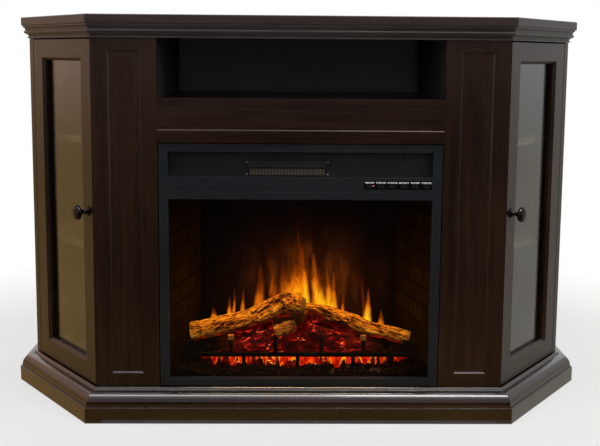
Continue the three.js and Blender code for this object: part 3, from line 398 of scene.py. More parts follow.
@dataclass(frozen=True)
class Stain(Finish):
    """Espresso stain under satin lacquer, with rails set across in a door frame."""

    run: Run = Run.UP
    turn: float = 0.0
    ground: Colour = (0.0108, 0.0036, 0.0010)
    figure: Colour = (0.0270, 0.0108, 0.0038)
    # Edge colour and its share: rubbed stain, and a painted highlight where edges catch light.
    wear_and_highlight_colour: Colour = (0.10, 0.06, 0.038)
    wear_and_highlight: float = 0.25
    gloss: float = 0.3
    specular: float = 0.3
    coat: float = 0.25
    coat_blur: float = 0.12
    edge: float = 0.0011
    rails: tuple[float, float, float, float] | None = None   # x, x, z, z of the opening

    def grain(self, tree: Tree, place: NodeSocket, run: Run) -> list[NodeSocket]:
        """Colour, roughness and height of the grain along a run."""
        grain = GRAIN.put(tree, Vector=place, Stretch=run.value, Ground=self.ground, Figure=self.figure,
                          Gloss=self.gloss)
        return [grain.outputs[key] for key in ("Color", "Roughness", "Height")]

    def railed(self, tree: Tree, place: NodeSocket, colour: NodeSocket,
               height: NodeSocket) -> tuple[NodeSocket, NodeSocket]:
        """Turns the grain across the rails and marks the seams where rails meet stiles.

        Args:
            tree: the material's tree.
            place: where the grain is read.
            colour: the stiles' colour.
            height: the stiles' height.

        Returns:
            The colour and height with rails and seams.
        """
        x0, x1, z0, z1 = self.rails
        x, _, z = tree.parts(place)
        inside = tree.times(tree.math("GREATER_THAN", x, x0), tree.math("LESS_THAN", x, x1))
        beyond = tree.plus(tree.math("GREATER_THAN", z, z1), tree.math("LESS_THAN", z, z0))
        seam = tree.times(tree.span(tree.off_pair(x, x0, x1), 0.0002, 0.0006, 1, 0), beyond)
        colour = tree.mix(tree.times(inside, beyond), colour, self.grain(tree, place, Run.ACROSS)[0])
        colour = tree.mix(tree.times(seam, 0.7), colour, (0.003, 0.002, 0.002))
        return colour, tree.minus(height, tree.times(seam, 3.0))

    def inputs(self, tree: Tree) -> dict[str, Any]:
        """Grain under lacquer, rubbed at edges, where a painted highlight shows too."""
        place = tree.place(self.turn)
        colour, rough, height = self.grain(tree, place, self.run)
        if self.rails:
            colour, height = self.railed(tree, place, colour, height)
        colour, rounded = edge_tint(tree, colour, self.wear_and_highlight_colour, place, self.edge, self.wear_and_highlight)
        return {"Base Color": colour, "Roughness": rough, "Normal": tree.bump(height, 0.25, 0.0002, rounded),
                "Specular IOR Level": self.specular, "Coat Weight": self.coat,
                "Coat Roughness": self.coat_blur}


@dataclass(frozen=True)
class Sprayed(Finish):
    """Powder coat, moulded plastic or uncoated sheet with a fine skin."""

    ground: Colour = (0.013, 0.018, 0.022)
    dust: Colour = (0.02, 0.026, 0.03)
    gloss: float = 0.36
    grain: float = 900.0
    relief: float = 0.12
    metallic: float = 0.0
    coat: float = 0.0
    specular: float = 0.5
    # The rim colour is a painted highlight along edges.
    rim: Colour | None = None      # of edges that catch the light
    rim_reach: float = 0.0011
    rim_amount: float = 0.9

    def inputs(self, tree: Tree) -> dict[str, Any]:
        """A fine skin, with a painted highlight on edges where there is a rim."""
        place = tree.place()
        spray = SKIN.put(tree, Vector=place, Ground=self.ground, Dust=self.dust, Grain=self.grain,
                         Gloss=self.gloss)
        colour = spray.outputs["Color"]
        if self.rim:
            colour = edge_tint(tree, colour, self.rim, place, self.rim_reach, self.rim_amount)[0]
        return {"Base Color": colour, "Roughness": spray.outputs["Roughness"],
                "Normal": tree.bump(spray.outputs["Height"], self.relief, 0.0002),
                "Metallic": self.metallic, "Coat Weight": self.coat, "Specular IOR Level": self.specular}


@dataclass(frozen=True)
class Bronze(Finish):
    """Dark bronze with a cloudy, brighter patina."""

    metallic: float = 0.85

    def inputs(self, tree: Tree) -> dict[str, Any]:
        """Cloudy metal with a fine relief."""
        place = tree.place()
        cloud = tree.noise(place, 120, 4, 0.6)
        colour = tree.mix(tree.span(cloud, 0.45, 0.75), (0.012, 0.01, 0.009), (0.05, 0.04, 0.032))
        return {"Base Color": colour, "Roughness": tree.span(cloud, 0.3, 0.8, 0.14, 0.3),
                "Normal": tree.bump(tree.noise(place, 700, 2), 0.05, 0.0002), "Metallic": self.metallic}


@dataclass(frozen=True)
class Pane(Finish):
    """Clear glass with a breath of dust."""

    tint: Colour = (0.93, 0.97, 0.95)
    ior: float = 1.5

    def inputs(self, tree: Tree) -> dict[str, Any]:
        """Clear glass with faint smears."""
        smear = tree.noise(tree.place(), 14, 4, 0.6)
        return {"Base Color": tree.mix(tree.span(smear, 0.35, 0.7), self.tint, (1, 1, 1)),
                "Roughness": tree.span(smear, 0.4, 0.8, 0.0, 0.03), "Transmission Weight": 1.0,
                "IOR": self.ior}


@dataclass(frozen=True)
class Brick(Finish):
    """Embossed dark brick, each course and brick a little different, with painted firelight on it."""

    height: float = 0.039
    length: float = 0.078
    first: float = 0.3             # of a brick, from the mouth to the first upright joint
    splay: float = 0.9675          # cosine of the side sheets' turn
    # Strength of the painted firelight.
    glow: float = 0.19

    def inputs(self, tree: Tree) -> dict[str, Any]:
        """Bricks and their joints, laid on the liner's own grooves, under a band of painted firelight."""
        place = tree.place()
        x, y, z = tree.parts(place)
        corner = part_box("firebox_liner")[0]
        level = tree.math("DIVIDE", tree.minus(z, corner.z), self.height)
        course = tree.math("FLOOR", level)
        odd = tree.math("MODULO", tree.plus(course, 1.0), 2.0)
        along = tree.math("DIVIDE", tree.minus(y, corner.y), self.length * self.splay)
        along = tree.minus(along, tree.plus(tree.times(odd, 0.5), self.first))
        brick = tree.add("ShaderNodeCombineXYZ", {0: course, 1: tree.math("FLOOR", along),
                                                  2: tree.math("SIGN", x)}).outputs[0]
        rise = tree.math("FRACT", level)
        bed = tree.span(tree.math("MINIMUM", rise, tree.minus(1.0, rise)), 0.026, 0.055, 1, 0)
        joint = tree.math("MAXIMUM", bed, tree.math("LESS_THAN", tree.math("FRACT", along), 0.033))
        joint = tree.times(joint, 0.9)
        tone = tree.add("ShaderNodeTexWhiteNoise", {"Vector": brick}, noise_dimensions="3D").outputs["Value"]
        grit = tree.noise(place, 260, 5, 0.65)
        cloud = tree.noise(place, 26, 4, 0.6)
        colour = tree.ramp(tree.plus(tree.times(tone, 0.45), tree.times(cloud, 0.6)), [
            (0.15, (0.003, 0.0010, 0.0002)), (0.55, (0.010, 0.0034, 0.0004)),
            (0.95, (0.024, 0.0085, 0.0010))])
        colour = tree.mix(tree.span(grit, 0.5, 0.75, 0, 0.6), colour, (0.004, 0.0016, 0.0004))
        colour = tree.mix(joint, colour, (0.0008, 0.0004, 0.0002))
        # Painted firelight: a band across the walls, broken by grit and left off the joints.
        warmth = tree.times(tree.span(z, 0.1, 0.2), tree.span(z, 0.22, 0.46, 1, 0.12),
                            tree.span(grit, 0.25, 0.8, 0.5, 1.0), tree.minus(1.0, joint))
        lit = tree.mix(0.6, colour, (0.07, 0.02, 0.001))
        return {"Base Color": colour, "Roughness": tree.span(grit, 0.2, 0.8, 0.6, 0.95),
                "Normal": tree.bump(grit, 0.6, 0.0012), "Emission Color": tree.mix(warmth, (0, 0, 0), lit),
                "Emission Strength": self.glow, "Specular IOR Level": 0.02}


@dataclass(frozen=True)
class SmokedScreen(Finish):
    """The dark screen behind the logs, with the haze of the flame image on it."""

    centre: Pair = (0.018, 0.232)
    reach: Pair = (0.15, 0.11)

    def inputs(self, tree: Tree) -> dict[str, Any]:
        """A haze that falls off all round its centre."""
        place = tree.place()
        x, _, z = tree.parts(place)
        squares = []
        for value, middle, reach in zip((x, z), self.centre, self.reach):
            share = tree.math("DIVIDE", tree.minus(value, middle), reach)
            squares.append(tree.math("POWER", tree.math("ABSOLUTE", share), 2.0))
        fall = tree.math("POWER", 2.718, tree.times(tree.plus(*squares), -1.1))
        drawn = tree.vector("MULTIPLY", place, (1.0, 1.0, 0.3))
        lick = tree.span(tree.noise(drawn, 34, 3, 0.55, 0.5), 0.28, 0.75, 0.35, 1.0)
        glow = tree.ramp(tree.times(fall, lick), [
            (0.0, (0.0, 0.0, 0.0)), (0.1, (0.0025, 0.0004, 0.0)), (0.35, (0.018, 0.003, 0.0002)),
            (0.7, (0.09, 0.018, 0.001)), (1.0, (0.3, 0.085, 0.006))])
        grime = tree.noise(place, 60, 3)
        return {"Base Color": tree.mix(grime, (0.003, 0.003, 0.003), (0.007, 0.006, 0.005)),
                "Roughness": tree.span(grime, 0.2, 0.8, 0.3, 0.5), "Emission Color": glow,
                "Emission Strength": 1.0, "Specular IOR Level": 0.0}


@dataclass(frozen=True)
class Flame(Finish):
    """Light of the flame image: colour from its warmth, edge from its veil."""

    strength: float = 1.3
    cool: Colour = (0.30, 0.045, 0.002)
    warm: Colour = (0.88, 0.19, 0.004)
    hot: Colour = (1.0, 0.61, 0.014)

    def inputs(self, tree: Tree) -> dict[str, Any]:
        """Light without a surface of its own."""
        drawn = tree.vector("MULTIPLY", tree.place(), (1.0, 1.0, 0.35))
        flicker = tree.noise(drawn, 120, 3, 0.5, 0.8)
        warm = tree.times(tree.layer("warmth"), tree.span(flicker, 0.25, 0.75, 0.75, 1.1))
        colour = tree.ramp(warm, [(0.0, tuple(part * 0.3 for part in self.cool)), (0.2, self.cool),
                                  (0.44, self.warm), (0.74, (1.0, 0.40, 0.006)), (1.0, self.hot)])
        return {"Base Color": (0, 0, 0), "Specular IOR Level": 0.0, "Roughness": 1.0,
                "Emission Color": colour, "Emission Strength": self.strength,
                "Alpha": tree.times(tree.layer("veil"), tree.span(flicker, 0.2, 0.7, 0.7, 1.0))}


@dataclass(frozen=True)
class Bark(Finish):
    """Moulded bark: bright ridges over dark fissures, with ringed saw cuts at the ends."""

    ridge: Colour = (0.84, 0.37, 0.022)
    middle: Colour = (0.27, 0.078, 0.004)
    fissure: Colour = (0.008, 0.002, 0.0006)
    cut_dark: Colour = (0.07, 0.025, 0.004)
    cut_pale: Colour = (0.34, 0.13, 0.016)
    # Colour of a painted glow under the log, where light from the bed below would fall.
    ember: Colour = (1.4, 0.02, 0.006)
    # Strength of the bark's glow in its own colour, which is painted light.
    lit: float = 0.16

    def inputs(self, tree: Tree) -> dict[str, Any]:
        """Bark by its relief, darker underneath as painted shade and redder there as a painted glow."""
        relief, cut, under = (tree.layer(name) for name in ("relief", "cut", "under"))
        grain = tree.layer("grain", "Vector")
        fleck = tree.noise(grain, 520, 4, 0.65, 0.3)
        patch = tree.noise(grain, 70, 3, 0.55)
        uneven = tree.plus(tree.times(tree.minus(fleck, 0.5), 1.7), tree.times(tree.minus(patch, 0.5), 1.1))
        level = tree.plus(tree.times(relief, 0.72), uneven)
        bark = tree.ramp(level, [(0.22, self.fissure), (0.52, self.middle), (0.95, self.ridge)])
        ring = tree.add("ShaderNodeTexWave", {
            "Vector": grain, "Scale": 95.0, "Distortion": 3.0, "Detail": 2.0, "Detail Scale": 2.0},
                        wave_type="RINGS", rings_direction="Z")
        face = tree.mix(tree.span(ring.outputs[1], 0.2, 0.8), self.cut_dark, self.cut_pale)
        # Towards the underside the bark turns to the fissure colour: painted shade.
        colour = tree.mix(tree.span(under, 0.05, 0.85, 0, 0.92), tree.mix(cut, bark, face), self.fissure)
        # Spots on the underside glow as painted light from below.
        spots = tree.span(tree.noise(tree.place(), 60, 4, 0.65), 0.46, 0.66)
        red = tree.times(tree.span(under, 0.4, 0.9), spots)
        return {"Base Color": colour, "Roughness": tree.span(fleck, 0.2, 0.8, 0.6, 0.95),
                "Normal": tree.bump(tree.plus(fleck, relief), 0.7, 0.0016),
                "Emission Color": tree.mix(red, colour, self.ember), "Emission Strength": self.lit,
                "Specular IOR Level": 0.06}


@dataclass(frozen=True)
class Char(Finish):
    """Charred wood and coals whose cracks glow in the middle of the bed."""

    heat: float = 1.0
    size: float = 70.0
    strength: float = 1.3
    half: float = 0.19
    # Colour of ashy patches, lightened to golden brown as a painted highlight.
    ash_and_highlight: Colour = (0.042, 0.014, 0.003)
    crest: tuple[float, float, float, float] = (0.07, 0.10, 0.17, 0.21)
    behind: float = 0.0                # glow starts this far behind the pilasters' faces
    onset: float = 0.016               # and is full this much further back

    def inputs(self, tree: Tree) -> dict[str, Any]:
        """Dark crust with ashy patches that also carry a painted highlight, and embers where the bed is hot.
        """
        place = tree.place()
        x, y, z = tree.parts(place)
        low, rise, fall, high = self.crest
        level = tree.times(tree.span(z, low, rise), tree.span(z, fall, high, 1, 0.15))
        middle = tree.span(tree.math("ABSOLUTE", x), self.half * 0.55, self.half, 1, 0.0)
        start = FACE_Y + self.behind
        deep = tree.span(y, start, start + self.onset)
        heat = tree.times(tree.times(level, middle), tree.times(deep, self.heat))
        ember = EMBER.put(tree, Vector=place, Stretch=(0.4, 1, 1), Size=self.size, Heat=heat).outputs
        grit = tree.noise(place, 320, 5, 0.65)
        ash_and_highlight = tree.noise(place, 45, 4, 0.6)
        crust = tree.mix(tree.span(grit, 0.42, 0.75), (0.0014, 0.0007, 0.0004), (0.010, 0.0036, 0.0010))
        crust = tree.mix(tree.span(ash_and_highlight, 0.56, 0.74, 0, 0.6), crust, self.ash_and_highlight)
        crust = tree.mix(tree.span(heat, 0.2, 0.9, 0, 0.5), crust, (0.035, 0.0012, 0.0006))
        share = tree.times(heat, tree.span(ash_and_highlight, 0.42, 0.66, 0.02, 0.6))
        haze = tree.mix(share, (0, 0, 0), (0.10, 0.0010, 0.0008))
        return {"Base Color": crust, "Roughness": tree.span(grit, 0.2, 0.8, 0.55, 0.95),
                "Normal": tree.bump(tree.plus(grit, ember["Crust"]), 0.7, 0.0015),
                "Emission Color": tree.mix(1.0, ember["Emission"], haze, "ADD"),
                "Emission Strength": self.strength, "Specular IOR Level": 0.04}


@dataclass(frozen=True)
class CastIron(Finish):
    """Matt black iron of the grate, with pale golden caps on its two tall fingers."""

    cap_foot: float = 0.143
    cap_reach: float = 0.1

    def inputs(self, tree: Tree) -> dict[str, Any]:
        """Gritty iron, paler above the caps' foot."""
        place = tree.place()
        x, _, z = tree.parts(place)
        grit = tree.noise(place, 420, 4, 0.6)
        iron = tree.mix(tree.span(grit, 0.4, 0.75), (0.002, 0.002, 0.002), (0.007, 0.0055, 0.0045))
        cap = tree.mix(grit, (0.11, 0.036, 0.006), (0.30, 0.11, 0.018))
        capped = tree.times(tree.math("GREATER_THAN", z, self.cap_foot),
                            tree.math("GREATER_THAN", tree.math("ABSOLUTE", x), self.cap_reach))
        return {"Base Color": tree.mix(capped, iron, cap), "Roughness": tree.span(grit, 0.2, 0.8, 0.55, 0.85),
                "Normal": tree.bump(grit, 0.5, 0.0006), "Specular IOR Level": 0.03}


@dataclass(frozen=True)
class Lamp(Finish):
    """A small lit part."""

    ground: Colour = (0.5, 0.02, 0.01)
    glow: Colour = (1.0, 0.03, 0.01)
    strength: float = 0.8

    def inputs(self, tree: Tree) -> dict[str, Any]:
        """Coloured plastic lit from inside."""
        speck = tree.noise(tree.place(), 900, 2)
        return {"Base Color": tree.mix(speck, self.ground, self.glow),
                "Emission Color": tree.mix(tree.span(speck, 0.3, 0.7, 0, 0.3), self.glow, (1, 1, 1)),
                "Emission Strength": self.strength}


@dataclass(frozen=True)
class RoomTone(Finish):
    """The plain tone of one side of a room, as gloss and glass reflect it."""

    tone: Colour = (0.5, 0.5, 0.5)
    foot: Colour = (0.5, 0.5, 0.5)
    low: float = 0.0
    rise: float = 1.0

    def inputs(self, tree: Tree) -> dict[str, Any]:
        """Light that goes from the foot's tone to the tone above, and only where it is reflected."""
        mottle = tree.span(tree.noise(tree.place(), 0.8, 2), 0.3, 0.7, 0.85, 1.0)
        lift = tree.span(tree.parts(tree.place())[2], self.low, self.low + self.rise)
        rays = tree.add("ShaderNodeLightPath").outputs
        return {"Base Color": (0, 0, 0), "Specular IOR Level": 0.0, "Emission Strength": 1.0,
                "Alpha": tree.plus(rays["Glossy Depth"], rays["Is Diffuse Ray"], clamp=True),
                "Emission Color": tree.vector("MULTIPLY", tree.mix(lift, self.foot, self.tone), mottle)}


@dataclass(frozen=True)
class Floor(Finish):
    """Pale studio floor that keeps shadows near the cabinet and goes white far from it."""

    def inputs(self, tree: Tree) -> dict[str, Any]:
        """Pale matt paint."""
        shade = tree.noise(tree.place(), 3, 2)
        return {"Base Color": tree.mix(shade, (0.78, 0.78, 0.78), (0.82, 0.82, 0.82)), "Roughness": 0.8,
                "Specular IOR Level": 0.1}

    def shader(self, tree: Tree, surface: NodeSocket) -> NodeSocket:
        """The paint, with more and more plain white away from the middle."""
        away = tree.add("ShaderNodeVectorMath", {0: tree.place()}, operation="LENGTH").outputs["Value"]
        white = tree.add("ShaderNodeEmission", {"Color": (1, 1, 1), "Strength": 1.0}).outputs[0]
        share = tree.times(tree.seen(), tree.span(away, 0.8, 1.5, 0.6, 1.0))
        return tree.add("ShaderNodeMixShader", {0: share, 1: surface, 2: white}).outputs[0]


@dataclass(frozen=True)
class Hardboard(Finish):
    """Printed hardboard with a row of sunk screws along its four edges."""

    inset: float = 0.012
    pitch: float = 0.142
    head: float = 0.0034

    def off_step(self, tree: Tree, value: NodeSocket, middle: float) -> NodeSocket:
        """Distance to the nearest of evenly pitched lines."""
        start = tree.minus(value, middle - self.pitch / 2)
        wrapped = tree.math("FLOORED_MODULO", start, self.pitch)
        return tree.math("ABSOLUTE", tree.minus(wrapped, self.pitch / 2))

    def inputs(self, tree: Tree) -> dict[str, Any]:
        """Board, screw heads with crossed slots, and a dimple round each; slots and dimples are darkened as
        painted shade.
        """
        low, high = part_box("back_panel")
        place = tree.place()
        x, y, z = tree.parts(place)
        rows = (self.off_step(tree, x, 0), tree.off_pair(z, low.z + self.inset, high.z - self.inset))
        columns = (tree.off_pair(x, low.x + self.inset, high.x - self.inset),
                   self.off_step(tree, z, (low.z + high.z) / 2))
        reaches, slots = [], []
        for first, second in (rows, columns):
            reaches.append(tree.math("SQRT", tree.plus(tree.times(first, first), tree.times(second, second))))
            outside = tree.math("GREATER_THAN", reaches[-1], self.head * 0.65)
            slots.append(tree.plus(tree.math("MINIMUM", first, second), outside))
        rear = tree.math("GREATER_THAN", y, high.y - 0.0005)
        reach = tree.plus(tree.math("MINIMUM", *reaches), tree.minus(1.0, rear))
        head = tree.span(reach, self.head * 0.92, self.head, 1, 0)
        cut = tree.times(tree.span(tree.math("MINIMUM", *slots), 0.0003, 0.0005, 1, 0), head)
        board = SKIN.put(tree, Vector=place, Grain=500.0, Gloss=0.55,
                         Ground=tree.mix(rear, (0.042, 0.044, 0.05), (0.012, 0.008, 0.006)),
                         Dust=tree.mix(rear, (0.055, 0.057, 0.062), (0.03, 0.02, 0.015))).outputs
        dimple = tree.span(reach, self.head, self.head * 1.8, 0.55, 1.0)
        # The slots are painted dark: painted shade.
        zinc = tree.mix(cut, (0.36, 0.36, 0.35), (0.03, 0.03, 0.03))
        # A dark ring in each dimple is painted shade.
        print_and_dimple_shade = tree.mix(dimple, (0.004, 0.003, 0.002), board["Color"])
        relief = tree.plus(tree.times(board["Height"], 0.1), tree.minus(dimple, tree.times(cut, 0.6)))
        return {"Base Color": tree.mix(head, print_and_dimple_shade, zinc), "Metallic": tree.minus(head, cut, clamp=True),
                "Roughness": tree.minus(board["Roughness"], tree.times(head, 0.3)),
                "Normal": tree.bump(relief, 0.5, 0.0008)}


class Paint:
    """Every finish of the cabinet, each built once."""

    def __init__(self) -> None:
        """Starts with no material built."""
        self.built: dict[str, Material] = {}

    def of(self, finish: Finish) -> Material:
        """The material of a finish."""
        if finish.name not in self.built:
            self.built[finish.name] = finish.make()
        return self.built[finish.name]


PAINT = Paint()
UPRIGHT = Stain("espresso_upright", wear_and_highlight=0.08, coat=0.12)
ACROSS = Stain("espresso_across", run=Run.ACROSS, wear_and_highlight=0.3, specular=0.2, coat=0.04)
FASCIA = Stain("espresso_fascia", run=Run.ACROSS, wear_and_highlight=0.0, coat=0.15, edge=0.0004)
NOSING = Stain("espresso_nosing", run=Run.ACROSS, wear_and_highlight=0.1, coat=0.78, coat_blur=0.09, gloss=0.2)
# A cooler, greyer copy of the stain on the crown, as a painted reflection; its pale edges are painted
# highlights.
CROWN = Stain("espresso_crown", run=Run.ACROSS, ground=(0.022, 0.0185, 0.0185), figure=(0.038, 0.033, 0.033),
              wear_and_highlight_colour=(0.24, 0.215, 0.205), wear_and_highlight=0.5, coat=0.6, coat_blur=0.09)
# A paler copy of the stain with pale edges: painted light and a painted highlight on the top slab.
TOP = Stain("espresso_top", run=Run.ACROSS, ground=(0.024, 0.0155, 0.0130), figure=(0.041, 0.0250, 0.0185),
            wear_and_highlight=0.4, coat=0.15)
BACKWARD = Stain("espresso_backward", run=Run.BACK)
# A paler grey-blue copy of the stain on the partitions: painted light.
INTERIOR = Stain("espresso_interior", ground=(0.022, 0.021, 0.023), figure=(0.036, 0.034, 0.037), gloss=0.5,
                 specular=0.08, coat=0)
# A much paler copy of the stain for boards behind the glass: painted light, with pale edges as painted
# highlights.
INTERIOR_BACK = Stain("espresso_interior_back", run=Run.BACK, ground=(0.085, 0.055, 0.035),
                      figure=(0.15, 0.10, 0.066), wear_and_highlight_colour=(0.3, 0.22, 0.16), wear_and_highlight=0.7, gloss=0.5,
                      specular=0.08, coat=0)
BEZEL = Sprayed("bezel_coat", ground=(0.0065, 0.0090, 0.0118), dust=(0.0110, 0.0145, 0.0175), gloss=0.4,
                relief=0.1, specular=0.35, rim=(0.05, 0.056, 0.062))
CASE = Sprayed("case_coat", ground=(0.008, 0.008, 0.009), dust=(0.018, 0.018, 0.019), gloss=0.5, relief=0.3)
RECESS = Sprayed("recess_texture", ground=(0.004, 0.004, 0.0045), dust=(0.012, 0.0115, 0.011), gloss=0.55,
                 grain=420, relief=0.8, specular=0.35)
PLASTIC = Sprayed("panel_plastic", ground=(0.003, 0.003, 0.0035), dust=(0.006, 0.006, 0.0065), gloss=0.16,
                  relief=0.05, coat=0.3)
KEYCAP = Sprayed("key_plastic", ground=(0.006, 0.006, 0.007), dust=(0.012, 0.012, 0.013), gloss=0.3,
                 relief=0.1)
INK = Sprayed("pad_ink", ground=(0.62, 0.62, 0.6), dust=(0.75, 0.75, 0.73), gloss=0.5)
NICKEL = Sprayed("nickel_plate", ground=(0.45, 0.44, 0.42), dust=(0.6, 0.59, 0.56), gloss=0.2, metallic=1.0,
                 relief=0.04)
BRIGHT = Sprayed("bright_sheet", ground=(0.5, 0.51, 0.52), dust=(0.65, 0.66, 0.67), gloss=0.28, metallic=1.0,
                 relief=0.08)
ZINC = Sprayed("zinc_plate", ground=(0.25, 0.26, 0.27), dust=(0.4, 0.41, 0.42), gloss=0.35, metallic=1.0,
               grain=200)
MESH_WIRE = Sprayed("mesh_wire", ground=(0.16, 0.14, 0.10), dust=(0.30, 0.26, 0.19), gloss=0.35, metallic=0.5)
VINYL = Sprayed("glazing_vinyl", ground=(0.006, 0.005, 0.005), dust=(0.014, 0.012, 0.011), gloss=0.5,
                grain=300)
LOG_BARK = Bark("log_bark")
CUT_BARK = Bark("cut_billet", ridge=(0.42, 0.145, 0.012), middle=(0.20, 0.062, 0.006),
                fissure=(0.035, 0.010, 0.002), lit=0.12)
CHARRED = Char("charred_wood", heat=1.06, size=165, strength=1.08, ash_and_highlight=(0.10, 0.038, 0.006))
UNDER_LIGHT = Flame("under_light", cool=(0.22, 0.002, 0.001), warm=(0.85, 0.035, 0.003), hot=(1.0, 0.6, 0.04))
COALS = Char("coal_bed", heat=1.7, size=120, crest=(0.075, 0.088, 0.12, 0.15), behind=0.056, half=0.215,
             ash_and_highlight=(0.11, 0.042, 0.012))
COAL_LUMPS = Char("coal_lumps", heat=0.4, size=150, crest=(0.085, 0.10, 0.13, 0.16), half=0.2,
                  ash_and_highlight=(0.13, 0.05, 0.014))


# ---------------------------------------------------------------- mesh making


def new_piece(name: str, mesh: Mesh, finish: Finish, smooth: float | None = 35.0) -> Object:
    """Puts a mesh in the scene.

    Args:
        name: the piece's name.
        mesh: its mesh, already in place.
        finish: its finish.
        smooth: the angle in degrees under which edges are smooth, or None for flat faces.

    Returns:
        The new object, at the origin.
    """
    if smooth is not None:
        mesh.shade_smooth()
        mesh.set_sharp_from_angle(angle=math.radians(smooth))
    mesh.materials.clear()
    mesh.materials.append(PAINT.of(finish))
    obj = bpy.data.objects.new(name, mesh)
    bpy.context.scene.collection.objects.link(obj)
    LOG.info("%s: %d faces", name, len(mesh.polygons))
    return obj


def mesh_of(name: str, points: np.ndarray | list, faces: list) -> Mesh:
    """A mesh from points and faces, with its faces turned outwards."""
    mesh = bpy.data.meshes.new(name)
    mesh.from_pydata([tuple(point) for point in points], [], faces)
    mesh.validate()
    volume = 0.0
    for face in mesh.polygons:
        first, *rest = (mesh.vertices[i].co for i in face.vertices)
        for second, third in zip(rest, rest[1:]):
            volume += first.dot(second.cross(third))
    if volume < 0:
        mesh.flip_normals()
    mesh.update()
    return mesh


def skin(rings: list[list[Vector]], caps: bool = True) -> tuple[list[Vector], Faces]:
    """Points and faces of a surface over rings of equal size.

    Args:
        rings: the rings, each closed on itself.
        caps: whether flat faces close both ends.

    Returns:
        The points and the faces.
    """
    size = len(rings[0])
    faces: Faces = []
    for ring in range(len(rings) - 1):
        for i in range(size):
            a, b = ring * size + i, ring * size + (i + 1) % size
            faces.append((a, b, b + size, a + size))
    if caps:
        last = (len(rings) - 1) * size
        faces.append(tuple(range(size - 1, -1, -1)))
        faces.append(tuple(range(last, last + size)))
    return [point for ring in rings for point in ring], faces


def grid_faces(columns: int, rows: int, base: int = 0) -> Faces:
    """Quads over points laid row by row, counted from a first point."""
    across = columns + 1
    corners = (base + j * across + i for j in range(rows) for i in range(columns))
    return [(a, a + 1, a + across + 1, a + across) for a in corners]


def give_layers(mesh: Mesh, **layers: list[float]) -> None:
    """Stores numbers on a mesh's points, each list under its own name."""
    for name, values in layers.items():
        mesh.attributes.new(name, "FLOAT", "POINT").data.foreach_set("value", values)


def box_mesh(name: str, boxes: list[tuple[Vector, Vector]]) -> Mesh:
    """One mesh of several upright boxes, each from its lowest to its highest corner."""
    points: list[Vector] = []
    faces: Faces = []
    for low, high in boxes:
        base = len(points)
        for z in (low.z, high.z):
            points += [Vector((low.x, low.y, z)), Vector((high.x, low.y, z)),
                       Vector((high.x, high.y, z)), Vector((low.x, high.y, z))]
        faces += [tuple(base + i for i in quad) for quad in (
            (3, 2, 1, 0), (4, 5, 6, 7), (0, 1, 5, 4), (1, 2, 6, 5), (2, 3, 7, 6), (3, 0, 4, 7))]
    return mesh_of(name, points, faces)


def mirrored(mesh: Mesh) -> Mesh:
    """A copy of a mesh mirrored across x = 0, with its faces still outwards."""
    copy = mesh.copy()
    copy.transform(Matrix.Scale(-1, 4, (1, 0, 0)))
    copy.flip_normals()
    return copy


def dress(finish: Finish, *nodes: str) -> None:
    """Gives CAD nodes a finish."""
    for node in nodes:
        for slot in NODES[node].material_slots:
            slot.material = PAINT.of(finish)
        LOG.info("%s: %s", node, finish.name)


class Recipe(Tree):
    """A Geometry Nodes tree with named inputs, run on a carrier mesh to give a plain mesh."""

    def __init__(self, name: str, inputs: dict[str, tuple[str, Any]]) -> None:
        """Makes the tree's sockets.

        Args:
            name: the tree's name.
            inputs: each input's kind and value, by name, besides the geometry and the material.
        """
        group = bpy.data.node_groups.new(name, "GeometryNodeTree")
        group.interface.new_socket("Carrier", in_out="INPUT", socket_type="NodeSocketGeometry")
        self.keys: dict[str, str] = {}
        for label, (kind, value) in {**inputs, "Material": ("Material", None)}.items():
            socket = group.interface.new_socket(label, in_out="INPUT", socket_type=f"NodeSocket{kind}")
            if value is not None:
                socket.default_value = value
            self.keys[label] = socket.identifier
        group.interface.new_socket("Geometry", in_out="OUTPUT", socket_type="NodeSocketGeometry")
        super().__init__(group)
        self.given = self.add("NodeGroupInput").outputs
        self.sink = self.add("NodeGroupOutput").inputs

    def circle(self, resolution: int, radius: Any) -> NodeSocket:
        """A circle to sweep or to draw with."""
        return self.out("GeometryNodeCurvePrimitiveCircle", {"Resolution": resolution, "Radius": radius},
                        mode="RADIUS")

    def close(self, geometry: NodeSocket) -> None:
        """Ends the tree with real geometry that has its material."""
        real = self.add("GeometryNodeRealizeInstances", {0: geometry})
        dressed = self.add("GeometryNodeSetMaterial", {"Geometry": real.outputs[0],
                                                       "Material": self.given["Material"]})
        self.tree.links.new(dressed.outputs[0], self.sink["Geometry"])

    def run(self, name: str, carrier: Mesh, finish: Finish, smooth: float | None = None,
            **values: Any) -> Object:
        """Runs the tree.

        Args:
            name: the piece's name.
            carrier: the mesh that goes in.
            finish: the finish of what comes out.
            smooth: the angle in degrees under which edges are smooth, or None.
            **values: the inputs' values; an underscore stands for a space.

        Returns:
            The piece, a plain mesh with no modifier.
        """
        obj = bpy.data.objects.new(name + "_carrier", carrier)
        bpy.context.scene.collection.objects.link(obj)
        modifier = obj.modifiers.new("recipe", "NODES")
        modifier.node_group = self.tree
        modifier[self.keys["Material"]] = PAINT.of(finish)
        for label, value in values.items():
            modifier[self.keys[label.replace("_", " ")]] = value
        graph = bpy.context.evaluated_depsgraph_get()
        mesh = bpy.data.meshes.new_from_object(obj.evaluated_get(graph), depsgraph=graph)
        obj.modifiers.clear()
        bpy.data.objects.remove(obj)
        for spare in [layer for layer in mesh.attributes if layer.name.startswith("instance")]:
            mesh.attributes.remove(spare)
        return new_piece(name, mesh, finish, smooth)


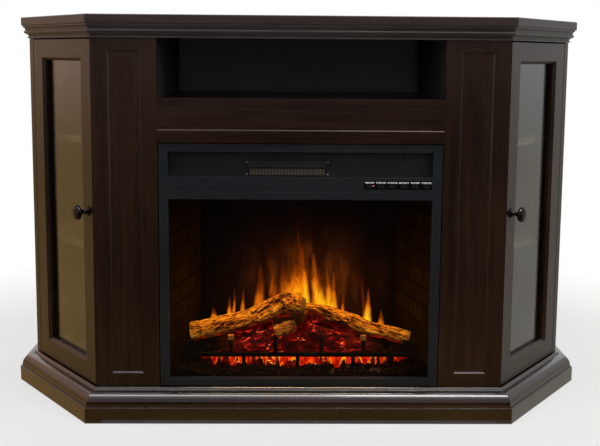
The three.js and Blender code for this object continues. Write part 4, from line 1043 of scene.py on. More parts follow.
def diamond_lattice() -> Recipe:
    """Expanded sheet: diamonds of bevelled strands on the points of a grid."""
    recipe = Recipe("diamond_lattice", {
        "Columns": ("Int", 20), "Rows": ("Int", 4), "Diamond Width": ("Float", 0.006),
        "Diamond Height": ("Float", 0.0034), "Strand": ("Float", 0.0006)})
    given = recipe.given
    width, height = given["Diamond Width"], given["Diamond Height"]
    grid = recipe.out("GeometryNodeMeshGrid", {
        "Size X": recipe.times(width, recipe.minus(given["Columns"], 1)),
        "Size Y": recipe.times(height, recipe.minus(given["Rows"], 1)),
        "Vertices X": given["Columns"], "Vertices Y": given["Rows"]})
    squash = recipe.out("ShaderNodeCombineXYZ", {0: width, 1: height, 2: 1.0})
    diamond = recipe.out("GeometryNodeTransform", {"Geometry": recipe.circle(4, 0.5), "Scale": squash})
    wire = recipe.out("GeometryNodeCurveToMesh", {"Curve": diamond,
                                                  "Profile Curve": recipe.circle(4, given["Strand"])})
    cells = recipe.out("GeometryNodeInstanceOnPoints", {"Points": grid, "Instance": wire})
    recipe.close(recipe.out("GeometryNodeInstanceOnPoints", {"Points": given["Carrier"], "Instance": cells}))
    return recipe


def scattered_coals() -> Recipe:
    """Rough lumps strewn over a bed, each turned and sized on its own."""
    recipe = Recipe("scattered_coals", {
        "Density": ("Float", 4000.0), "Size": ("Float", 0.008), "Roughen": ("Float", 0.004),
        "Seed": ("Int", 3)})
    given = recipe.given
    spots = recipe.out("GeometryNodeDistributePointsOnFaces",
                       {"Mesh": given["Carrier"], "Density": given["Density"], "Seed": given["Seed"]})
    lump = recipe.out("GeometryNodeMeshIcoSphere", {"Radius": given["Size"], "Subdivisions": 2})
    turn = recipe.add("FunctionNodeRandomValue", {
        "Min": (0, 0, 0), "Max": (6.28, 6.28, 6.28), "Seed": given["Seed"]}, data_type="FLOAT_VECTOR")
    size = recipe.add("FunctionNodeRandomValue", {
        "Min": (0.6, 0.55, 0.5), "Max": (1.5, 1.2, 0.95), "Seed": 11}, data_type="FLOAT_VECTOR")
    lumps = recipe.out("GeometryNodeInstanceOnPoints", {
        "Points": spots, "Instance": lump, "Rotation": turn.outputs["Value"], "Scale": size.outputs["Value"]})
    solid = recipe.out("GeometryNodeRealizeInstances", {0: lumps})
    jitter = recipe.add("ShaderNodeTexNoise", {"Vector": recipe.out("GeometryNodeInputPosition"),
                                               "Scale": 130.0, "Detail": 1.0})
    centred = recipe.vector("SUBTRACT", jitter.outputs["Color"], (0.5, 0.5, 0.5))
    push = recipe.out("ShaderNodeVectorMath", {0: centred, 3: given["Roughen"]}, operation="SCALE")
    recipe.close(recipe.out("GeometryNodeSetPosition", {"Geometry": solid, "Offset": push}))
    return recipe


def set_screws() -> Recipe:
    """Cross-headed screws on points, their heads turned about X."""
    recipe = Recipe("set_screws", {
        "Radius": ("Float", 0.003), "Height": ("Float", 0.0014), "Turn": ("Float", 0.0)})
    given = recipe.given
    radius = given["Radius"]
    dome = recipe.out("GeometryNodeMeshUVSphere", {"Segments": 16, "Rings": 8, "Radius": radius})
    lengthwise, crosswise = recipe.times(radius, 1.1), recipe.times(radius, 0.28)
    carved = recipe.add("GeometryNodeMeshBoolean", operation="DIFFERENCE", solver="EXACT")
    recipe.feed(carved.inputs[0], dome)
    for first, second in ((lengthwise, crosswise), (crosswise, lengthwise)):
        size = recipe.out("ShaderNodeCombineXYZ", {0: first, 1: second, 2: radius})
        cube = recipe.out("GeometryNodeMeshCube", {"Size": size})
        lift = recipe.out("ShaderNodeCombineXYZ", {2: radius})
        recipe.feed(carved.inputs[1], recipe.out("GeometryNodeTransform", {"Geometry": cube,
                                                                           "Translation": lift}))
    share = recipe.math("DIVIDE", given["Height"], radius)
    flat = recipe.out("ShaderNodeCombineXYZ", {0: 1.0, 1: 1.0, 2: share})
    tilt = recipe.out("ShaderNodeCombineXYZ", {0: given["Turn"]})
    pressed = recipe.out("GeometryNodeTransform", {"Geometry": carved.outputs[0], "Scale": flat})
    faced = recipe.out("GeometryNodeTransform", {"Geometry": pressed, "Rotation": tilt})
    recipe.close(recipe.out("GeometryNodeInstanceOnPoints", {"Points": given["Carrier"], "Instance": faced}))
    return recipe


def swept_bead() -> Recipe:
    """A bead of round section along the edges of the carrier."""
    recipe = Recipe("swept_bead", {"Radius": ("Float", 0.003)})
    path = recipe.out("GeometryNodeMeshToCurve", {"Mesh": recipe.given["Carrier"]})
    recipe.close(recipe.out("GeometryNodeCurveToMesh", {
        "Curve": path, "Profile Curve": recipe.circle(10, recipe.given["Radius"]), "Fill Caps": True}))
    return recipe


LATTICE = diamond_lattice()
COAL_SCATTER = scattered_coals()
SCREWS = set_screws()
BEAD = swept_bead()


def points_mesh(name: str, points: list[Vector]) -> Mesh:
    """A mesh of loose points."""
    mesh = bpy.data.meshes.new(name)
    mesh.from_pydata([tuple(point) for point in points], [], [])
    return mesh


# ---------------------------------------------------------------- cabinet


@dataclass
class Plan:
    """The cabinet's chamfered outline from above, at any reach outside the carcass."""

    front_half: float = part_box("pilaster_right")[1].x
    outer_half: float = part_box("side_panel_right")[1].x
    back_y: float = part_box("side_panel_right")[1].y

    def corners(self, reach: float) -> tuple[Vector, Vector, Vector]:
        """Right-hand corners at a reach: front, chamfer's back end and rear."""
        front = self.front_half + reach * math.tan(CHAMFER / 2)
        outer = self.outer_half + reach
        turn = FACE_Y + (outer - front) * math.tan(CHAMFER) - reach
        return Vector((front, FACE_Y - reach, 0)), Vector((outer, turn, 0)), Vector((outer, self.back_y, 0))


@dataclass
class Moulding:
    """A mitred moulding round the front and both chamfers, from a (reach, height) section."""

    name: str
    nodes: tuple[str, str, str]
    section: list[Pair]
    finish: Stain
    side_coat: float = 0.7
    gap: float = 0.00015
    plan: Plan = field(default_factory=Plan)

    def front_mesh(self) -> Mesh:
        """The length across the front."""
        rings = []
        for side in (-1, 1):
            corners = [self.plan.corners(reach)[0] for reach, _ in self.section]
            rings.append([Vector((side * (corner.x - self.gap), corner.y, z))
                          for corner, (_, z) in zip(corners, self.section)])
        return mesh_of(self.name, *skin(rings))

    def chamfer_mesh(self) -> Mesh:
        """The length along the right chamfer and the side behind it."""
        rings: list[list[Vector]] = [[], [], []]
        for reach, z in self.section:
            front, turn, rear = self.plan.corners(reach)
            for ring, corner in zip(rings, (front + ALONG * self.gap, turn, rear)):
                ring.append(Vector((corner.x, corner.y, z)))
        return mesh_of(self.name, *skin(rings))

    def build(self) -> None:
        """Makes the three lengths in place of their solids."""
        side = self.chamfer_mesh()
        right, left = (
            replace(self.finish, name=f"{self.finish.name}_{where}", turn=turn, coat=self.side_coat)
            for where, turn in (("right", CHAMFER), ("left", -CHAMFER)))
        lengths = ((self.front_mesh(), "front", self.finish, self.nodes[0]),
                   (side, "right", right, self.nodes[2]), (mirrored(side), "left", left, self.nodes[1]))
        for mesh, where, finish, node in lengths:
            piece = new_piece(f"{self.name}_{where}", mesh, finish, 22)
            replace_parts(piece, node)
            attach(piece, "cabinet")


def arc(first: Pair, last: Pair, steps: int, convex: bool) -> list[Pair]:
    """Points of a quarter curve between two section corners, without its ends.

    Args:
        first: the corner that it starts from.
        last: the corner that it ends at.
        steps: how many straight parts it has.
        convex: whether it bulges outwards.

    Returns:
        The points between the corners.
    """
    points = []
    for i in range(1, steps):
        angle = math.pi / 2 * i / steps
        rise, run = math.sin(angle), 1 - math.cos(angle)
        u, v = (rise, run) if convex else (run, rise)
        points.append((first[0] + (last[0] - first[0]) * u, first[1] + (last[1] - first[1]) * v))
    return points


@dataclass
class Cabinet:
    """The wooden case: slab, mouldings, pilasters, boards, shelves and back."""

    crown_height: float = 0.027
    crown_reach: float = 0.013
    header_thick: float = 0.012
    base_reach: float = 0.036
    plinth: float = 0.031
    lip: float = 0.0015

    def crown_section(self) -> list[Pair]:
        """Fillet, cove, bead and lower cove under the slab, as (reach, height) pairs."""
        top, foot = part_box("crown_front")[1].z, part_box("crown_front")[0].z

        def spot(out: float, down: float) -> Pair:
            """A corner by its shares of the moulding's reach and height."""
            return self.crown_reach * out, top - self.crown_height * down

        lip, cove_top, cove_foot = spot(1, 0.1), spot(0.92, 0.13), spot(0.62, 0.38)
        bead_out, bead_foot = spot(0.84, 0.49), spot(0.52, 0.62)
        sweep_top, sweep_foot, toe_out = spot(0.5, 0.66), spot(0.12, 0.86), spot(0.28, 0.93)
        return [(-self.header_thick, top), spot(1, 0), lip,
                cove_top, *arc(cove_top, cove_foot, 9, True),
                cove_foot, *arc(cove_foot, bead_out, 9, True),
                bead_out, *arc(bead_out, bead_foot, 9, False), bead_foot,
                sweep_top, *arc(sweep_top, sweep_foot, 9, True),
                sweep_foot, *arc(sweep_foot, toe_out, 7, True),
                toe_out, (toe_out[0], foot), (-self.header_thick, foot)]

    def base_section(self) -> list[Pair]:
        """Plinth, lip and bullnose, with the rebate and cleat inside."""
        inner = -0.018
        cleat_tall, cleat_deep = 0.022, 0.016
        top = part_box("base_front")[1].z
        cleat_top = top - 0.018
        nose_top = (self.base_reach * 0.24, top - 0.005)
        nose_foot = (self.base_reach - 0.004, self.plinth + self.lip * 2)
        nose = []
        for i in range(23):
            angle = math.pi / 2 * i / 22
            nose.append((nose_top[0] + (nose_foot[0] - nose_top[0]) * math.sin(angle),
                         nose_foot[1] + (nose_top[1] - nose_foot[1]) * math.cos(angle)))
        return [(inner, top), (self.base_reach * 0.1, top), (self.base_reach * 0.13, top - 0.0006),
                (self.base_reach * 0.16, top - 0.002), *nose,
                (nose_foot[0], self.plinth + self.lip), (self.base_reach - self.lip, self.plinth + self.lip),
                (self.base_reach - self.lip * 0.3, self.plinth + self.lip * 0.7),
                (self.base_reach, self.plinth), (self.base_reach, 0), (inner, 0),
                (inner, cleat_top - cleat_tall), (inner - cleat_deep, cleat_top - cleat_tall),
                (inner - cleat_deep, cleat_top), (inner, cleat_top)]

    def build(self) -> None:
        """Dresses the boards and makes the mouldings."""
        Moulding("crown_moulding", ("crown_front", "crown_left", "crown_right"), self.crown_section(),
                 CROWN, side_coat=0.2).build()
        Moulding("base_moulding", ("base_front", "base_left", "base_right"), self.base_section(),
                 NOSING).build()
        dress(UPRIGHT, "pilaster_left", "pilaster_right")
        dress(BACKWARD, "side_panel_left", "side_panel_right")
        dress(TOP, "top_panel")
        dress(ACROSS, "ledge_rail")
        dress(FASCIA, "media_shelf", "fascia_rail")
        dress(INTERIOR, "partition_left", "partition_right")
        dress(INTERIOR_BACK, "bottom_panel", "base_rear_rail", "shelf_lower_left", "shelf_lower_right",
              "shelf_upper_left", "shelf_upper_right")
        dress(Hardboard("printed_hardboard"), "back_panel")


@dataclass
class GlazedDoor:
    """One glazed door: stained frame, pane, glazing bead and turned knob."""

    side: str
    stile: float = 0.040
    knob_radius: float = 0.0155
    knob_reach: float = 0.030

    @property
    def turn(self) -> float:
        """The angle that the door's width makes with X."""
        return CHAMFER if self.side == "right" else -CHAMFER

    @property
    def across(self) -> Vector:
        """The unit vector along the door's width, towards +X."""
        return Vector((math.cos(self.turn), math.sin(self.turn), 0))

    @property
    def outwards(self) -> Vector:
        """The unit vector out of the door's face."""
        return Vector((math.sin(self.turn), -math.cos(self.turn), 0))

    def knob(self) -> None:
        """The turned knob, on its own rose."""
        node = f"door_knob_{self.side}"
        low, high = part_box(node)
        middle = (low + high) / 2
        root = middle - self.outwards * (self.knob_reach / 2)
        reach, radius = self.knob_reach, self.knob_radius
        profile = [(0, 0), (0.6, 0), (0.62, 0.03), (0.58, 0.07), (0.44, 0.1), (0.34, 0.16), (0.29, 0.26),
                   (0.29, 0.4), (0.36, 0.48), (0.52, 0.535), (0.7, 0.575), (0.86, 0.63), (0.96, 0.7),
                   (1.0, 0.77), (0.985, 0.84), (0.92, 0.9), (0.8, 0.945), (0.62, 0.975), (0.36, 0.993),
                   (0.12, 1.0)]
        up = Vector((0, 0, 1))
        turns = [2 * math.pi * k / 40 for k in range(40)]
        rings = []
        for share, along in profile[1:]:
            centre = root + self.outwards * (reach * along)
            rings.append([centre + (self.across * math.cos(a) + up * math.sin(a)) * (radius * share)
                          for a in turns])
        knob = mesh_of("knob", *skin(rings))
        piece = new_piece(f"turned_knob_{self.side}", knob, Bronze("dark_bronze"), 50)
        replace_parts(piece, node)
        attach(piece, f"door_{self.side}")

    def glazing(self) -> None:
        """The vinyl bead that holds the pane from behind."""
        low, high = span_of(f"door_glass_{self.side}", self.across)
        _, deep = span_of(f"door_glass_{self.side}", -self.outwards)
        z0, z1 = (corner.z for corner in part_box(f"door_glass_{self.side}"))
        radius = 0.0014
        inset = radius + 0.0002
        behind = -self.outwards * (deep + radius)
        left, right, foot, head = low + inset, high - inset, z0 + inset, z1 - inset
        corners = [self.across * x + behind + Vector((0, 0, z))
                   for x, z in ((left, foot), (right, foot), (right, head), (left, head))]
        carrier = bpy.data.meshes.new("bead_path")
        carrier.from_pydata([tuple(corner) for corner in corners], [(0, 1), (1, 2), (2, 3), (3, 0)], [])
        piece = BEAD.run(f"glazing_bead_{self.side}", carrier, VINYL, 40, Radius=radius)
        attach(piece, f"door_{self.side}")

    def build(self) -> None:
        """Dresses the door and makes its knob and bead."""
        frame_node = f"door_frame_{self.side}"
        x0, x1 = span_of(frame_node, self.across)
        z0, z1 = (corner.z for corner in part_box(f"door_glass_{self.side}"))
        dress(Stain(f"espresso_door_{self.side}", turn=self.turn,
                    rails=(x0 + self.stile, x1 - self.stile, z0, z1)), frame_node)
        dress(Pane("door_pane"), f"door_glass_{self.side}")
        dress(NICKEL, *(f"hinge_{part}_{level}_{self.side}"
                        for part in ("cup", "arm") for level in ("lower", "upper")))
        self.knob()
        self.glazing()


# ---------------------------------------------------------------- insert


@dataclass
class Insert:
    """The fire's steel case: bezel, recess, outlet, controls and machinery."""

    label_count: int = 6
    label_height: float = 0.0034
    outlet_x: float = -0.027

    def outlet(self) -> None:
        """Diamond mesh over the outlet's lower half, and its four screws."""
        foot, head = at(0, 0, 501.2).z, at(0, 0, 514.2).z
        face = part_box("insert_bezel")[1].y - 0.0006
        mesh_carrier = points_mesh("outlet_point", [Vector((0, 0, 0))])
        piece = LATTICE.run("outlet_mesh", mesh_carrier, MESH_WIRE, None, Columns=37, Rows=4,
                            Diamond_Width=0.004, Diamond_Height=0.0033, Strand=0.0006)
        piece.data.transform(Matrix.Rotation(math.pi / 2, 4, "X"))
        piece.data.transform(Matrix.Translation((self.outlet_x, face, (foot + head) / 2)))
        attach(piece, "cabinet")
        spots = [Vector((self.outlet_x + side * 0.0815, face + 0.0004, at(0, 0, z).z))
                 for side in (-1, 1) for z in (502.5, 527.0)]
        screws = SCREWS.run("outlet_screws", points_mesh("outlet_screw_points", spots), ZINC, 30,
                            Radius=0.0021, Height=0.001, Turn=math.pi / 2)
        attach(screws, "cabinet")

    def controls(self) -> None:
        """Generic tick marks over the keys and the red pilot light."""
        low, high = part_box("control_panel")
        pitch = (high.x - low.x) / self.label_count
        top = high.z - 0.0028
        ticks = []
        for place in range(self.label_count):
            left = low.x + pitch * (place + 0.5) - 0.0098
            for tick in range(9):
                tall = self.label_height * (1.0 if (tick * 5 + place * 3) % 4 else 0.55)
                x = left + tick * 0.0022
                ticks.append((Vector((x, low.y - 0.00012, top - tall)),
                              Vector((x + 0.0015, low.y + 0.0001, top))))
        piece = new_piece("panel_marks", box_mesh("marks", ticks), INK, None)
        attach(piece, "cabinet")
        eye = Vector((low.x + pitch * 0.82, low.y, high.z - 0.0105))
        rings = []
        for share, lift in ((1.0, -0.0002), (1.0, 0.0002), (0.8, 0.0006), (0.45, 0.0009), (0.1, 0.00098)):
            rings.append([eye + Vector((math.cos(a) * 0.0013 * share, -lift, math.sin(a) * 0.0013 * share))
                          for a in (2 * math.pi * k / 20 for k in range(20))])
        pilot = new_piece("pilot_light", mesh_of("pilot", *skin(rings)), Lamp("pilot_red"), 40)
        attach(pilot, "cabinet")

    def build(self) -> None:
        """Dresses the insert and makes its small parts."""
        dress(BEZEL, "insert_bezel")
        dress(CASE, "insert_casing")
        dress(RECESS, "outlet_grille")
        dress(PLASTIC, "control_panel", "cord_gland")
        dress(KEYCAP, *(f"key_{i + 1}" for i in range(self.label_count)))
        dress(BRIGHT, "heater_element", "blower_wheel", "flame_rotor")
        dress(ZINC, "blower_motor", "rotor_motor")
        dress(Pane("fire_pane", tint=(0.98, 0.98, 0.98), ior=1.12), "viewing_glass")
        self.outlet()
        self.controls()


# ---------------------------------------------------------------- fire


def catmull(points: list[Vector], t: float) -> tuple[Vector, Vector]:
    """A point on a smooth curve through points, and the curve's direction there.

    Args:
        points: what the curve goes through.
        t: 0 at the first point, 1 at the last.

    Returns:
        The point and the unit direction.
    """
    ends = [points[0] * 2 - points[1], *points, points[-1] * 2 - points[-2]]
    place = min(t * (len(points) - 1), len(points) - 1 - 1e-6)
    i, u = int(place), place - int(place)
    a, b, c, d = ends[i:i + 4]
    square, cube = 2 * a - 5 * b + 4 * c - d, 3 * b - a - 3 * c + d
    point = 0.5 * (2 * b + (c - a) * u + square * u ** 2 + cube * u ** 3)
    slope = 0.5 * ((c - a) + 2 * square * u + 3 * cube * u ** 2)
    return point, slope.normalized()


@dataclass
class BarkLog:
    """A log along a curve, with fissured bark and sawn ends."""

    name: str
    path: list[Vector]
    radii: list[float]
    seed: float
    finish: Finish
    depth: float = 0.0034
    rings: int = 170
    sides: int = 84
    coarse: float = 1.0

    def relief(self, around: float, radius: float, along: float) -> float:
        """How high the bark stands at a place, from 0 in a fissure to 1 on a ridge."""
        turn = around + 0.5 * math.sin(along * 16 + self.seed)
        where = Vector((math.cos(turn) * radius, math.sin(turn) * radius, along * 0.17)) * (165 * self.coarse)
        where += Vector((self.seed * 7, self.seed * 3, self.seed * 5))
        plate = min(1.0, abs(noise.noise(where)) * 4.2)
        chip = min(1.0, abs(noise.noise(where * 2.3 + Vector((9, 4, 2)))) * 3.2)
        swell = noise.noise(where * 0.4) * 0.5 + 0.5
        return 0.5 * plate + 0.28 * chip + 0.22 * swell

    def mesh(self) -> Mesh:
        """The log's mesh, with the attributes that its finish reads."""
        rings, reliefs, cuts, painted_underside, grains = [], [], [], [], []
        length = sum((b - a).length for a, b in zip(self.path, self.path[1:]))
        last = self.rings - 1
        for i in range(self.rings):
            t = i / last
            centre, direction = catmull(self.path, t)
            up = (Vector((0, 0, 1)) - direction * direction.z).normalized()
            side = direction.cross(up)
            place = t * (len(self.radii) - 1)
            k = min(int(place), len(self.radii) - 2)
            base = self.radii[k] + (self.radii[k + 1] - self.radii[k]) * (place - k)
            base *= 1 + 0.07 * math.sin(9 * t + self.seed) + 0.05 * math.sin(21 * t + 2 * self.seed)
            ring = []
            for j in range(self.sides):
                angle = 2 * math.pi * j / self.sides
                lumpy = (1 + 0.06 * math.sin(3 * angle + self.seed + 4 * t)
                         + 0.04 * math.sin(5 * angle - 6 * t))
                height = self.relief(angle, base, t * length)
                radius = base * lumpy + self.depth * (height - 0.72)
                ring.append(centre + (up * math.sin(angle) + side * math.cos(angle)) * radius)
                reliefs.append(height)
                cuts.append(0.0)
                # How far a point faces down, for the painted shade and glow underneath.
                painted_underside.append(min(1.0, max(0.0, (0.08 - math.sin(angle)) / 0.92)))
                grains.append((math.cos(angle) * base, math.sin(angle) * base, t * length * 0.22))
            rings.append(ring)
        points, faces = skin(rings, caps=False)
        for ring_index, out in ((0, -1), (last, 1)):
            ring = rings[ring_index]
            centre = sum(ring, Vector()) / len(ring)
            direction = catmull(self.path, ring_index / last)[1] * out
            previous = [ring_index * self.sides + j for j in range(self.sides)]
            for share in (0.97, 0.8, 0.6, 0.4, 0.2):
                current = []
                for j, rim in enumerate(ring):
                    spoke = rim - centre
                    rough = noise.noise(rim * 130 + Vector((share * 9, self.seed, 0))) * 0.0012
                    point = centre + spoke * share + direction * (0.0006 + rough * (1 - share))
                    current.append(len(points))
                    points.append(point)
                    reliefs.append(0.5 + 0.3 * math.sin(share * 40))
                    cuts.append(1.0)
                    # The sawn ends take the same painted shade lower down.
                    painted_underside.append(min(1.0, max(0.0, 0.1 - 0.9 * spoke.z * share / self.radii[0])))
                    grains.append((spoke.x * share, spoke.y * share, spoke.z * share))
                for j in range(self.sides):
                    after = (j + 1) % self.sides
                    quad = (previous[j], previous[after], current[after], current[j])
                    faces.append(quad if out > 0 else quad[::-1])
                previous = current
            faces.append(tuple(previous) if out > 0 else tuple(previous[::-1]))
        mesh = mesh_of(self.name, points, faces)
        give_layers(mesh, relief=reliefs, cut=cuts, under=painted_underside)
        layer = mesh.attributes.new("grain", "FLOAT_VECTOR", "POINT")
        layer.data.foreach_set("vector", [number for grain in grains for number in grain])
        return mesh

    def build(self) -> Object:
        """Makes the log as a piece of the cabinet."""
        piece = new_piece(self.name, self.mesh(), self.finish, 75)
        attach(piece, "cabinet")
        return piece


@dataclass
class Tongue:
    """One tongue of flame on the screen, in millimetres, with its heat and its veil."""

    tip: Pair
    foot: Pair
    width: float
    heat: float = 1.0
    veil: float = 1.0
    sway: float = 0.0
    slender: float = 1.0


@dataclass
class FlameSheet:
    """Flames as thin leaves of light in front of the screen."""

    name: str
    depth: float
    tongues: list[Tongue]
    steps: int = 30
    ribs: int = 12
    core: float = 0.62

    def build(self) -> None:
        """Makes every tongue as one leaf of a single piece."""
        points, faces, heats, veils = [], [], [], []
        for number, tongue in enumerate(self.tongues):
            base = len(points)
            for i in range(self.steps + 1):
                t = i / self.steps
                bend = (tongue.sway * math.sin(math.pi * t)
                        + 0.3 * tongue.sway * math.sin(2.7 * math.pi * t + number))
                x = tongue.foot[0] + (tongue.tip[0] - tongue.foot[0]) * t ** 1.15 + bend
                z = tongue.foot[1] + (tongue.tip[1] - tongue.foot[1]) * t
                half = tongue.width * 0.5 * (1 - t) ** (0.75 * tongue.slender) * min(1.0, 0.78 + 2 * t) + 0.2
                for j in range(self.ribs + 1):
                    s = 2 * j / self.ribs - 1
                    lift = 0.8 * (1 - s * s) + 0.3 * (number % 4)
                    points.append(at(x + s * half, self.depth - lift, z))
                    edge = max(0.0, 1 - s * s)
                    rise = max(0.0, 1 - (t / self.core) ** 1.6)
                    heats.append(tongue.heat * (0.2 + 0.8 * rise) * (0.45 + 0.55 * edge))
                    veils.append(tongue.veil * edge ** 0.8 * (1 - t) ** 0.55 * min(1.0, 0.25 + 7 * t))
            faces += grid_faces(self.ribs, self.steps, base)
        light_piece(self.name, points, faces, heats, veils, Flame("flame_light"))


def light_piece(name: str, points: list[Vector], faces: list, heats: list[float], veils: list[float],
                finish: Finish) -> None:
    """Makes a piece of flame light from its points and what each is worth.

    Args:
        name: the piece's name.
        points: its points.
        faces: its faces.
        heats: the heat at each point, from 0 to about 1.
        veils: how solid the light is at each point, from 0 to 1.
        finish: its finish.
    """
    mesh = bpy.data.meshes.new(name)
    mesh.from_pydata([tuple(point) for point in points], [], faces)
    give_layers(mesh, warmth=heats, veil=veils)
    piece = new_piece(name, mesh, finish, 180)
    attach(piece, "cabinet")


@dataclass
class Fire:
    """The firebox: brick sides, screen, flames, coals, logs and grate."""

    log_y: float = 91.3
    bed_front: float = 29.3
    bed_depth: float = 118.0
    middle_column: float = 299     # the photograph's pixel column over the middle of the screen
    level_row: float = 225         # a pixel row of it, and how high on the screen that row lies
    level_height: float = 364.2
    column_pitch: float = 2.2585   # millimetres on the screen to a pixel, across
    row_pitch: float = 2.295       # and up
    width_pitch: float = 2.26

    def spot(self, column: float, row: float) -> Pair:
        """Where a pixel of the photograph lies on the screen, across and up, in millimetres."""
        return ((column - self.middle_column) * self.column_pitch,
                self.level_height - (row - self.level_row) * self.row_pitch)

    def logs(self) -> None:
        """The two amber logs that cross in the middle."""
        y = self.log_y
        left = BarkLog("amber_log_left", [at(-230, y + 4, 148), at(-176, y + 2, 160), at(-112, y, 178),
                                          at(-64, y - 1, 198), at(-26, y - 4, 213), at(8, y - 17, 212)],
                       [0.0188, 0.0196, 0.0204, 0.0212, 0.0235, 0.0215], 1.3, LOG_BARK)
        right = BarkLog("amber_log_right", [at(4, y + 35, 190), at(34, y + 27, 190), at(75, y + 18, 181),
                                            at(112, y + 13, 169), at(150, y + 8, 156), at(196, y + 4, 147),
                                            at(237, y, 137)],
                        [0.0145, 0.0155, 0.0165, 0.0175, 0.0165, 0.016, 0.0135], 4.1, LOG_BARK)
        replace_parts(left.build(), "log_left")
        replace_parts(right.build(), "log_right")

    def charred(self) -> None:
        """Six charred logs that glow under the amber ones, and the pale billet in front."""
        y = self.log_y
        runs = [([(-165, y - 16, 116), (-90, y - 12, 134), (-20, y - 6, 162)], (15, 16, 13), 2.2),
                ([(-60, y + 16, 110), (20, y + 8, 150), (40, y + 6, 190)], (19, 20, 17), 0.7),
                ([(20, y - 14, 158), (100, y - 10, 134), (176, y - 14, 112)], (15, 17, 14), 3.6),
                ([(60, y + 20, 176), (130, y + 16, 140), (196, y + 14, 118)], (15, 17, 14), 5.2),
                ([(-34, y, 114), (30, y - 5, 131), (92, y + 2, 118)], (14, 16, 13), 4.4),
                ([(-210, y + 10, 108), (-140, y + 12, 134), (-60, y + 14, 172)], (16, 19, 17), 6.0)]
        for number, (path, radii, seed) in enumerate(runs):
            BarkLog(f"charred_log_{number + 1}", [at(*point) for point in path], [r * MM for r in radii],
                    seed, CHARRED, depth=0.005, rings=72, sides=42, coarse=0.55).build()
        BarkLog("cut_billet", [at(-50, y - 22, 157), at(-28, y - 21, 165), at(-8, y - 20, 172)],
                [0.013, 0.0145, 0.0125], 8.3, CUT_BARK, depth=0.002, rings=30, sides=30).build()

    def bed(self) -> None:
        """The moulded bed of coals, with loose lumps along its front."""
        columns, rows = 170, 60
        foot = 66.7
        grid = []
        for j in range(rows + 1):
            y = self.bed_front + self.bed_depth * j / rows
            half = 265.5 - 45.5 * (y - 19.3) / 174 - 1.5
            for i in range(columns + 1):
                x = half * (2 * i / columns - 1)
                flank = min(1.0, max(0.0, (abs(x) - 190) / 40))
                rise = min(1.0, max(0.0, (y - 73) / 14)) ** 0.7
                shelf = 9 + 27 * rise + 12 * flank * (1 - rise)
                lump = 4.5 * noise.fractal(Vector((x, y, 0)) * 0.035, 0.8, 2.1, 4)
                nugget = 4.5 * min(1.0, abs(noise.noise(Vector((x, y, 40)) * 0.075)) * 3)
                ends = min(1.0, min(i, columns - i) / 5)
                grid.append(at(x, y, max(foot + (shelf + lump + nugget) * (0.35 + 0.65 * ends), foot + 2)))
        across = columns + 1
        count = len(grid)
        points = grid + [Vector((point.x, point.y, foot * MM)) for point in grid]
        faces = grid_faces(columns, rows)
        faces += [tuple(count + i for i in reversed(quad)) for quad in faces]
        rim = [*range(columns), *(j * across + columns for j in range(rows)),
               *(rows * across + i for i in range(columns, 0, -1)), *(j * across for j in range(rows, 0, -1))]
        for a, b in zip(rim, [*rim[1:], rim[0]]):
            faces.append((b, a, count + a, count + b))
        piece = new_piece("ember_coals", mesh_of("ember_coals", points, faces), COALS, 60)
        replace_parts(piece, "ember_bed")
        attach(piece, "cabinet")
        strip = bpy.data.meshes.new("lump_strip")
        ends_x, front, back = 246, self.bed_front + 8, self.bed_front + 41
        corners = (at(-ends_x, front, 77), at(ends_x, front, 77),
                   at(ends_x - 12, back, 83), at(-ends_x + 12, back, 83))
        strip.from_pydata([tuple(corner) for corner in corners], [], [(0, 1, 2, 3)])
        lumps = COAL_SCATTER.run("coal_lumps", strip, COAL_LUMPS, 40, Density=12000.0, Size=0.0062,
                                 Roughen=0.009, Seed=5)
        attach(lumps, "cabinet")

    def under_glow(self) -> None:
        """The bright gap between the coals and the grate's bar, where fire shows from behind."""
        columns, rows = 420, 24
        left, right, low, high = -224, 244, 70, 104
        points, heats, veils = [], [], []
        for j in range(rows + 1):
            v = j / rows
            for i in range(columns + 1):
                x = left + (right - left) * i / columns
                ends = min(1.0, min(i, columns - i) / 50)
                middle = ends * (1 - 0.4 * abs(2 * i / columns - 1) ** 2)
                wide = max(0.0, 1 - abs(noise.noise(Vector((x * 0.028, 3.1, 0)))) * 4.6)
                narrow = max(0.0, 1 - abs(noise.noise(Vector((x * 0.075, 8.3, 0)))) * 5.0)
                mound = (0.94 - 0.95 * max(wide, 0.74 * narrow) * middle
                         + 0.12 * noise.noise(Vector((x * 0.31, 2, 5))))
                over = v - mound
                rim = math.exp(-max(0.0, over) / 0.1)
                flick = 0.75 + 0.5 * noise.noise(Vector((x * 0.13, v * 3, 1.7)))
                heat = (0.24 + 0.3 * v * v + 1.2 * rim * (0.35 + 0.65 * v)) * flick * middle
                heats.append(max(0.0, heat))
                veils.append(min(1.0, max(0.0, over / 0.05)) * min(1.0, 3 * middle))
                points.append(at(x, 74.5 - 3 * math.sin(x * 0.09), low + (high - low) * v))
        light_piece("under_glow", points, grid_faces(columns, rows), heats, veils, UNDER_LIGHT)

    def flames(self) -> None:
        """The flame image on the screen."""
        def tongue(tip: Pair, foot: Pair, width: float, **looks: float) -> Tongue:
            """A tongue whose tip, foot and width are given in pixels of the photograph."""
            return Tongue(self.spot(*tip), self.spot(*foot), width * self.width_pitch, **looks)

